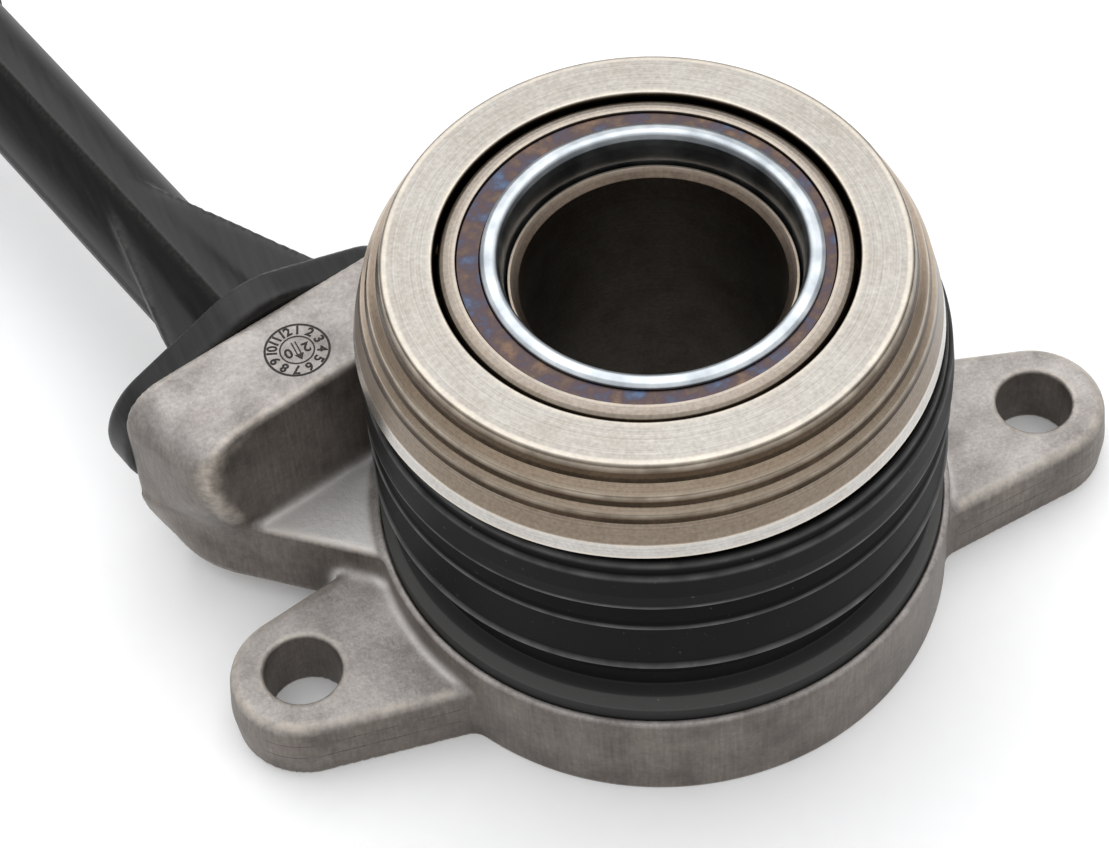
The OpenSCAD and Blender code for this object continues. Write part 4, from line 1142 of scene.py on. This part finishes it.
@dataclass
class CarrierAndTube:
    """The zinc-plated bearing carrier and the fixed guide tube inside it."""

    tube_h: float = 48.4
    tube_r: float = 15.0
    bore_r: float = 13.85

    def build(self) -> None:
        """Turns the carrier with its rolled lip, and the guide tube with its chamfered mouth."""
        carrier = [
            Corner(15.35, 38.9, 0.2), Corner(29.3, 38.9, 0.2), Corner(29.3, 39.7, 0.2), Corner(16.0, 39.7, 0.3),
            Corner(16.0, 51.7, 0.1), Corner(17.65, 51.75, 0.1), Corner(17.58, 52.04, 0.2), Corner(17.15, 52.25, 0.7),
            Corner(16.4, 52.36, 0.7), Corner(15.94, 52.18, 0.5), Corner(15.66, 51.6, 0.5), Corner(15.5, 50.8, 0.6),
            Corner(15.4, 49.9, 0.6), Corner(15.35, 48.9, 0.6),
        ]
        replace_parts(Turning(carrier, step=0.3).build("carrier_sleeve", ZincSheet().material(), Body.PISTON,
                                                     "zinc_sheet"), "bearing_carrier")
        champagne, brown, dark = "#786a5e", "#6b6259", "#6d675f"
        tube = [
            Corner(self.bore_r, 0.0, 0.1, brown, 0.5), Corner(24.5, 0.0, 0.2, champagne, 0.4),
            Corner(24.5, 2.0, 0.2, champagne, 0.4), Corner(self.tube_r, 2.0, 0.2, brown, 0.4),
            Corner(self.tube_r, self.tube_h, 0.08, champagne, 0.3, 0.4),
            Corner(14.72, self.tube_h, 0.08, champagne, 0.34, 0.3),
            Corner(self.bore_r, 47.6, 0.2, brown, 0.4), Corner(self.bore_r, 44.0, 0.1, dark, 0.45),
            Corner(self.bore_r, 30.0, 0.1, dark, 0.5),
        ]
        drawn = TurnedSteel("drawn_tube", stain="#3b3128", stain_share=0.5).material()
        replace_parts(Turning(tube, step=0.5).build("guide_sleeve", drawn, Body.HOUSING, "tube_steel"), "guide_tube")


@dataclass
class PreloadSpring:
    """The coil spring inside the boot, with its end turns closed."""

    mean_r: float = 25.2
    wire_r: float = 1.0
    turns: int = 6
    low: float = 13.45
    high: float = 37.85
    end_pitch: float = 2.12
    seat_z: float = 12.4
    stroke_keep: float = 0.698
    finish: PlainStock = PlainStock("tempered_wire", "#3c4044", "#6b7075", 1.0, 0.4)

    def build(self) -> None:
        """Sweeps a round wire: its centre turns at the mean radius and climbs slowly at the ends, faster between.

        Point (i, j) lies at angle j round the wire, in the upright plane at angle i round the axis. A ladder of
        faces closes each end.
        """
        steps, sides = 48, 14
        turn = np.arange(self.turns * steps + 1)[:, None] / steps
        climb = np.interp(turn, [0.0, 1.0, self.turns - 1.0, self.turns],
                          [self.low, self.low + self.end_pitch, self.high - self.end_pitch, self.high])
        b = 2 * np.pi * np.arange(sides) / sides
        r = self.mean_r + self.wire_r * np.cos(b)
        points = np.stack([r * np.cos(2 * np.pi * turn), r * np.sin(2 * np.pi * turn),
                           climb + self.wire_r * np.sin(b)], -1).reshape(-1, 3)
        i, j = np.meshgrid(np.arange(len(turn) - 1), np.arange(sides), indexing="ij")
        k = (j + 1) % sides
        walls = np.stack([i * sides + j, (i + 1) * sides + j, (i + 1) * sides + k, i * sides + k], -1).reshape(-1, 4)
        rung = np.arange(sides // 2 - 1)
        cap = np.stack([rung, rung + 1, sides - 2 - rung, sides - 1 - rung], -1)
        faces = np.concatenate([cap, walls, cap[:, ::-1] + (len(turn) - 1) * sides])
        piece = add_piece("coil_spring", points, faces, self.finish.material(), Body.HOUSING)
        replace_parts(piece, "preload_spring")
        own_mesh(piece)


@dataclass
class InnerWorks:
    """Pieces inside the part that keep their solids and only take a finish."""

    finishes: dict[str, PlainStock] = field(default_factory=lambda: {
        "stop_ring": PlainStock("spring_strip", "#3c3d40", "#5b5d61", 1.0, 0.4),
        "boot_retainer": PlainStock("pressed_sheet", "#707073", "#939396", 1.0, 0.4),
        "piston": PlainStock("phenolic", "#242426", "#3a3a3d", 0.0, 0.5),
        "piston_seal": PlainStock("nitrile", "#141415", "#242426", 0.0, 0.55),
        "tube_foot_seal": PlainStock("nitrile_foot", "#141415", "#242426", 0.0, 0.55),
        "port_seal": PlainStock("nitrile_port", "#141415", "#242426", 0.0, 0.55),
        "pipe_end_seal": PlainStock("nitrile_end", "#141415", "#242426", 0.0, 0.55),
        "seal_backing_ring": PlainStock("bearing_plastic", "#b3ac9c", "#d3cdbf", 0.0, 0.45),
        "slip_washer": PlainStock("slip_plastic", "#b3ac9c", "#d3cdbf", 0.0, 0.45),
        "bearing_balls": PlainStock("ball_steel", "#c4c6c9", "#dfe1e3", 1.0, 0.12),
        "gallery_plug": PlainStock("plug_steel", "#a9abad", "#c9cbcd", 1.0, 0.2),
        "ball_cage": PlainStock("cage_polyamide", "#33291f", "#4f4233", 0.0, 0.5),
        "bearing_shield": PlainStock("shield_rubber", "#17171a", "#2a2a2d", 0.0, 0.55),
        "flange_screws": PlainStock("zinc_screws", "#7d7f83", "#a9abaf", 1.0, 0.35),
    })

    def dress(self) -> None:
        """Gives each solid its finish."""
        for name, finish in self.finishes.items():
            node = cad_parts[name]
            node.data.materials.clear()
            node.data.materials.append(finish.material())
            LOG.info("%s: dressed as %s", name, finish.name)


@dataclass
class Studio:
    """White floor, soft lights and the camera at the photograph's viewing angle."""

    eye: tuple[float, float, float] = (-80.55, -200.37, 307.58)
    yaw: float = math.radians(18.9124)
    pitch: float = 0.919857
    roll: float = -0.0764859
    lens_mm: float = 106.8
    sensor_mm: float = 36.0
    low_glow: float = 0.3
    high_glow: float = 1.25
    table_glow: float = 0.07
    paper_mm: float = 2.0  # grain of the paper

    def build(self) -> None:
        """Places the floor, the world, the lights and the camera."""
        self.floor()
        self.world()
        self.light("back_box", (90.0, 300.0, 640.0), (0.0, 0.0, 20.0), (900.0, 800.0), 1.3)
        self.camera()

    def floor(self) -> None:
        """Lays a wide pale floor under the part."""
        mesh = bpy.data.meshes.new("floor")
        reach = 3.0
        mesh.from_pydata([(-reach, -reach, 0), (reach, -reach, 0), (reach, reach, 0), (-reach, reach, 0)], [],
                         [(0, 1, 2, 3)])
        paper = Shader("white_paper")
        grain = paper.add("TexNoise", {"Vector": paper.place, "Scale": 1 / (self.paper_mm * MM), "Detail": 2.0})
        tone = paper.add("ValToRGB", {"Fac": grain}, stops=[(0.2, "#f6f6f6"), (0.8, "#fafafa")])
        # a light table: translucent white sheet, lit a little from below
        mesh.materials.append(paper.surface({"Base Color": tone, "Roughness": 0.9, "Specular IOR Level": 0.1,
                                             "Emission Color": linear("#ffffff"),
                                             "Emission Strength": self.table_glow}))
        floor = bpy.data.objects.new("floor", mesh)
        bpy.context.scene.collection.objects.link(floor)

    def world(self) -> None:
        """Surrounds the part with a pale room: dim near the horizon, brighter overhead."""
        world = bpy.data.worlds.new("surround")
        world.use_nodes = True
        wiring = Wiring(world.node_tree)
        wiring.tree.nodes.clear()
        way = wiring.add("TexCoord", out="Generated")
        height = wiring.add("SeparateXYZ", {"Vector": way}, out="Z")
        glow = wiring.add("MapRange", {"Value": height, "From Min": 0.0, "From Max": 0.9, "To Min": self.low_glow,
                                       "To Max": self.high_glow})
        back = wiring.add("Background", {"Color": linear("#f4f5f6"), "Strength": glow})
        wiring.add("OutputWorld", {"Surface": back})
        bpy.context.scene.world = world
        bpy.context.scene.view_settings.view_transform = "Standard"

    def light(self, name: str, place: tuple[float, float, float], aim: tuple[float, float, float],
              size: tuple[float, float], glow: float) -> None:
        """Hangs a soft box.

        Args:
            name: Light's name.
            place: Centre in millimetres.
            aim: Point it faces.
            size: Width and height in millimetres.
            glow: Brightness of its face, where white paper in full light is about 1.
        """
        lamp = bpy.data.lights.new(name, "AREA")
        lamp.shape, lamp.size, lamp.size_y = "RECTANGLE", size[0] * MM, size[1] * MM
        lamp.energy = glow * math.pi * lamp.size * lamp.size_y
        holder = bpy.data.objects.new(name, lamp)
        back = np.array(place) - np.array(aim)
        back = back / np.linalg.norm(back)
        side = np.cross((0.0, 0.3, 1.0), back)
        side = side / np.linalg.norm(side)
        up = np.cross(back, side)
        holder.matrix_world = self.pose(side, up, back, place)
        bpy.context.scene.collection.objects.link(holder)

    @staticmethod
    def pose(side: np.ndarray, up: np.ndarray, back: np.ndarray, place: tuple[float, float, float]) -> Matrix:
        """Makes a world matrix from three directions and a place in millimetres."""
        rows = [[side[i], up[i], back[i], place[i] * MM] for i in range(3)]
        return Matrix([*rows, [0.0, 0.0, 0.0, 1.0]])

    def camera(self) -> None:
        """Sets the camera from its yaw, pitch and roll."""
        cp, sp = math.cos(self.pitch), math.sin(self.pitch)
        ahead = np.array([math.sin(self.yaw) * cp, math.cos(self.yaw) * cp, -sp])
        right = np.array([math.cos(self.yaw), -math.sin(self.yaw), 0.0])
        up = np.cross(right, ahead)
        c, s = math.cos(self.roll), math.sin(self.roll)
        data = bpy.data.cameras.new("camera")
        data.sensor_fit, data.sensor_width, data.lens = "HORIZONTAL", self.sensor_mm, self.lens_mm
        data.clip_start, data.clip_end = 0.01, 20.0
        holder = bpy.data.objects.new("camera", data)
        holder.matrix_world = self.pose(c * right + s * up, -s * right + c * up, -ahead, self.eye)
        bpy.context.scene.collection.objects.link(holder)
        bpy.context.scene.camera = holder


def main() -> None:
    """Builds the sub-assemblies in order."""
    logging.basicConfig(level=logging.INFO, format="%(name)s: %(message)s")
    Studio().build()
    Housing().build()
    PipeAdaptor().build()
    DustBoot().build()
    ReleaseBearing().build()
    CarrierAndTube().build()
    PreloadSpring().build()
    InnerWorks().dress()


if __name__ == "__main__":
    main()
